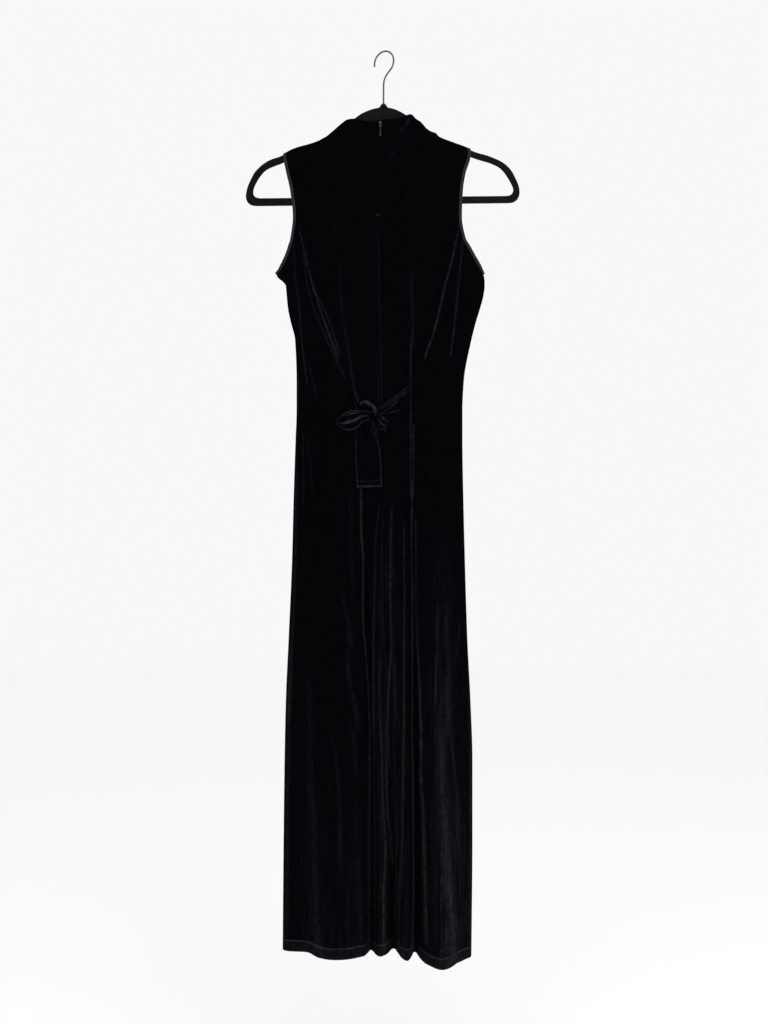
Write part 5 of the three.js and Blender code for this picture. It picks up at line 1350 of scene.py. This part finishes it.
# Knot of the bow: the strip of velvet drawn tight round the crossing, as it is tied by hand. It is a full
# roll along a bent path, with gathers that run round it and rounded ends.
KNOT_ROWS, KNOT_SIDES = 90, 40
knot_t = np.linspace(0, 1, KNOT_ROWS)
knot_x, knot_z = line_through([(-39.0, -577.0), (-34.2, -573.1), (-28.5, -573.4), (-22.0, -576.4),
                               (-16.6, -581.9), (-13.9, -588.4), (-13.9, -594.9)])(knot_t)
knot_path = lifted_point(knot_x, knot_z, np.full(KNOT_ROWS, 5.0))
knot_sizes = np.column_stack([np.linspace(0, 1, 7), [3.0, 3.6, 3.6, 3.3, 3.7, 3.1, 1.9],
                              [2.6, 3.4, 3.8, 3.4, 3.9, 3.4, 2.1]])
knot_end = np.sqrt(1 - (1 - np.clip(np.minimum(knot_t, 1 - knot_t) / 0.08, 0.03, 1)) ** 2)
knot_wide, knot_tall = curve(knot_sizes, 1)(knot_t) * knot_end, curve(knot_sizes, 2)(knot_t) * knot_end
along = unit(np.gradient(knot_path, axis=0))
knot_side = unit(np.cross(along, [0, -1, 0]))
knot_up = np.cross(knot_side, along)
ring = np.linspace(0, 2 * np.pi, KNOT_SIDES, endpoint=False)
down = knot_t[:, None]
gather = np.sin(7 * ring + 2.2 * down + 0.7 * np.sin(9 * down)) * np.sin(np.pi * mix(0.1, 0.9, down))
gather = 1 + 0.14 * gather * (0.6 + 0.4 * np.sin(17 * down + ring))
sideways, upward = knot_wide[:, None] * np.cos(ring) * gather, knot_tall[:, None] * np.sin(ring) * gather
knot_points = knot_path[:, None] + knot_side[:, None] * sideways[..., None] + knot_up[:, None] * upward[..., None]
last = KNOT_ROWS * KNOT_SIDES - 1
knot_faces = grid_faces(KNOT_ROWS, KNOT_SIDES, wrap_columns=True)
knot_faces += [tuple(range(KNOT_SIDES)), tuple(range(last, last - KNOT_SIDES, -1))]
if closed_faces(knot_points, knot_faces[:-2])[0] != knot_faces[0]:
    knot_faces = [face[::-1] for face in knot_faces]
knot = mesh_object("tie_knot_cloth", knot_points, knot_faces, VELVET)
# painted highlight on the gathers and along the upper rim of the knot
gather_highlight = 2.2 * np.clip((gather - 1) / 0.14, 0, 1)
set_attribute(knot, "painted_highlight", gather_highlight + 0.9 * np.exp(-(((ring - 1.9) / 0.4) ** 2)))
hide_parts("tie_knot")


# Hanger: a slim moulded plastic frame, sprayed all over with short black flock so that the dress can't
# slide. Its outline follows the shoulders just under the cloth and rises to a dome at the neck, and its
# lower bar rings an open window.
HANGER_THICKNESS, HANGER_ROUND, ARM_UNDER_CLOTH = 6.0, 2.4, 2.3


def arm_line(*across):
    """Points of the hanger's arm, just under the cloth of the shoulder."""
    return [(x, float(upper_edge(x)) - ARM_UNDER_CLOTH) for x in across]


hanger_outline = [
    (-209.5, -251.0), (-217.6, -249.4), (-223.3, -244.5), (-225.8, -236.3), (-224.1, -224.9), (-220.9, -215.2),
    (-216.0, -205.4), (-211.1, -195.6), (-201.3, -185.8), (-194.8, -180.9), (-186.6, -176.0), (-178.5, -173.2),
    (-172, -171.3), *arm_line(-165.4, -156, -147.5, -130, -111.7, -103), (-95.4, -142), (-88, -138.4),
    (-80.7, -134.2), (-70.9, -127.1), (-59.5, -119.8), (-51.3, -111.3), (-44.8, -105.9), (-38.3, -101.1),
    (-28.5, -96.2), (-15.5, -91.8), (-0.8, -89.6), (13.9, -91.6), (25.3, -96.2), (35.0, -101.9),
    (39.9, -105.9), (46.5, -111.5), (54.6, -120.0), (66.0, -129.8), (77.4, -136.4), (85, -139.8), (91, -142.4),
    *arm_line(100, 111.7, 122, 132.8, 141), (148, -162.9), (155.7, -165.4), (163.8, -167.3), (172.0, -170.0),
    (180.1, -173.3), (188.3, -176.7), (196.4, -181.6), (204.6, -189.1), (209.5, -195.6), (213.5, -203.8),
    (217.6, -211.9), (220.9, -221.7), (221.4, -231.5), (218.4, -239.6), (212.7, -244.5), (206.2, -246.1),
]
hanger_window = [
    (-205, -238.4), (-211.5, -235.5), (-213.5, -229.8), (-212.7, -223.3), (-209.5, -215.2), (-202.9, -203.8),
    (-194.8, -194.0), (-186.6, -189.1), (-178.5, -185.8), (-168.7, -182.4), (-147.5, -172.5), (-111.7, -160.8),
    (-80, -153.5), (-45, -149), (0, -147.5), (45, -149), (78, -153.5), (111.7, -160.8), (132.8, -167.6),
    (148, -173.6), (162.2, -178.0), (172.0, -180.6), (180.1, -184.2), (188.3, -188.3), (194.8, -194.8),
    (201.3, -203.8), (207.8, -215.2), (211.1, -223.3), (210.3, -228.2), (207.5, -232.6), (202, -234.6),
]
FLOCK = cloth_material("flock", (0.0042, 0.0042, 0.0047), (0.0085, 0.0085, 0.0092), (0.014, 0.014, 0.016),
                       0.14, 0.35, (0.8, 0.82, 0.86), bump=0.8, grain=2600.0)
outline, window = rounded_loop(hanger_outline, 6.0, 6), rounded_loop(hanger_window, 6.0, 6)
plate_points, plate_faces = plate_form(outline, [window], HANGER_THICKNESS, HANGER_ROUND, 7)
hanger = mesh_object("hanger_body_flocked", placed(plate_points, (0, 0, 0), FACING_BACK), plate_faces, FLOCK)
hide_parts("hanger_body")

# Collar of the hanger: a small round boss, moulded with the dome and flocked with it, where the hook's wire
# goes in. Its form is turned: a ring of the given radius at each level.
COLLAR_ROWS, COLLAR_SIDES, COLLAR_X = 31, 40, -0.8
collar_rows = np.array([(-91.3, 6.6), (-90.6, 7.0), (-89.4, 6.4), (-88.0, 5.6), (-86.6, 4.7), (-85.4, 3.7),
                        (-84.4, 2.7), (-83.7, 1.7)])
collar_z = np.linspace(-91.3, -83.7, COLLAR_ROWS - 1)
collar_radius = np.append(curve(collar_rows, 1)(collar_z), 1.0)
collar_path = np.stack([np.full(COLLAR_ROWS, COLLAR_X), np.zeros(COLLAR_ROWS),
                        np.append(collar_z, -83.6)], -1)
collar_ring = np.linspace(0, 2 * np.pi, COLLAR_SIDES, endpoint=False)
collar_ring_points = np.stack([np.cos(collar_ring), np.sin(collar_ring), 0 * collar_ring], -1)
collar_points = collar_path[:, None] + collar_ring_points * collar_radius[:, None, None]
collar_faces = grid_faces(COLLAR_ROWS, COLLAR_SIDES, wrap_columns=True)
top_ring = (COLLAR_ROWS - 1) * COLLAR_SIDES
collar_faces += [tuple(range(COLLAR_SIDES - 1, -1, -1)), tuple(range(top_ring, top_ring + COLLAR_SIDES))]
collar = mesh_object("hook_collar_flocked", collar_points, collar_faces, FLOCK)
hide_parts("hook_collar")


# Hook: one chromed steel wire, bent to a half round and turned a little out of the hanger's plane. Its path
# is a straight stem, an S bend and an arc of HOOK_RADIUS, and its free end is rounded off.
HOOK_RADIUS, HOOK_WIRE, HOOK_TURN = 18.4, 1.4, math.radians(32)


def through_points(rows, steps):
    """A smooth open path through points: Catmull and Rom's cubic between each pair."""
    p = np.asarray(rows, float)
    p = np.concatenate([2 * p[:1] - p[1:2], p, 2 * p[-1:] - p[-2:-1]])
    t = np.linspace(0, 1, steps, endpoint=False)[None, :, None]
    a, b, c, d = (p[k:len(p) - 3 + k, None] for k in range(4))
    path = 0.5 * (2 * b + (c - a) * t + (2 * a - 5 * b + 4 * c - d) * t**2 + (3 * b - a - 3 * c + d) * t**3)
    return np.concatenate([path.reshape(-1, p.shape[1]), p[-2:-1]])


arc = np.radians(np.arange(-40, 205, 12.25))
hook_rows = [(-0.9, -83.4), (-0.9, -66), (-0.6, -52), (0.6, -45.5), (3.4, -40), (7.2, -35.4), (11.6, -31.4)]
hook_rows += np.stack([HOOK_RADIUS * np.cos(arc),
                       HOOK_WIRE - HOOK_RADIUS + HOOK_RADIUS * np.sin(arc)], -1).tolist()
flat_path = through_points(hook_rows, 8)
hook_path = np.stack([flat_path[:, 0] * math.cos(HOOK_TURN), -flat_path[:, 0] * math.sin(HOOK_TURN),
                      flat_path[:, 1]], -1)
wire = np.full(len(hook_path), HOOK_WIRE)
wire[-4:] = HOOK_WIRE * np.array([0.97, 0.86, 0.62, 0.2])
HOOK_METAL = metal_material("hook_metal", (0.075, 0.075, 0.08), (0.14, 0.14, 0.15), 0.16, scale=120.0)
hook_side = (math.sin(HOOK_TURN), math.cos(HOOK_TURN), 0)
hook = mesh_object("hanger_hook_wire", *tube(hook_path, wire, 20, up=hook_side), HOOK_METAL)
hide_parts("hanger_hook")


# Set and light: a wide pale floor under the hanging dress and a pale surround, with soft studio lamps, the
# strongest from the right.
def plain(name, tone, roughness=0.9):
    made = bpy.data.materials.new(name)
    made.use_nodes = True
    shader = made.node_tree.nodes["Principled BSDF"]
    shader.inputs["Base Color"].default_value = (tone, tone, tone, 1)
    shader.inputs["Roughness"].default_value = roughness
    return made


def flat_sheet(name, corners, material):
    mesh = bpy.data.meshes.new(name)
    mesh.from_pydata(corners, [], [(0, 1, 2, 3)])
    mesh.materials.append(material)
    made = bpy.data.objects.new(name, mesh)
    scene.collection.objects.link(made)
    return made


PALE = plain("pale_paper", 0.97)
flat_sheet("floor", [(-6, -6, -1.75), (6, -6, -1.75), (6, 6, -1.75), (-6, 6, -1.75)], PALE)


def soft_lamp(name, place, aim, size, power, tint=(1, 1, 1)):
    lamp = bpy.data.lights.new(name, "AREA")
    lamp.shape = "RECTANGLE"
    lamp.size, lamp.size_y = size
    lamp.energy = power
    lamp.color = tint
    made = bpy.data.objects.new(name, lamp)
    made.location = place
    made.rotation_euler = (Vector(aim) - Vector(place)).to_track_quat("-Z", "Y").to_euler()
    scene.collection.objects.link(made)
    return made


soft_lamp("key", (1.05, -1.95, -0.95), (0, 0, -0.95), (1.9, 1.9), 22)
soft_lamp("fill", (-1.7, -2.2, -0.4), (0, 0, -0.8), (1.4, 1.8), 2)
soft_lamp("top", (0.1, -0.9, 1.0), (0, 0, -0.5), (1.6, 0.8), 7)

world = bpy.data.worlds.new("studio")
scene.world = world
world.use_nodes = True
world.node_tree.nodes["Background"].inputs["Color"].default_value = (0.975, 0.98, 0.985, 1)
world.node_tree.nodes["Background"].inputs["Strength"].default_value = 0.96
scene.view_settings.view_transform = "Standard"

lens = bpy.data.cameras.new("camera")
lens.lens = 43.1
lens.sensor_width = 36
lens.sensor_fit = "AUTO"
camera = bpy.data.objects.new("camera", lens)
camera.location = (0.0, -2.0, -0.75)
camera.rotation_euler = (math.pi / 2, 0, 0)
scene.collection.objects.link(camera)
scene.camera = camera
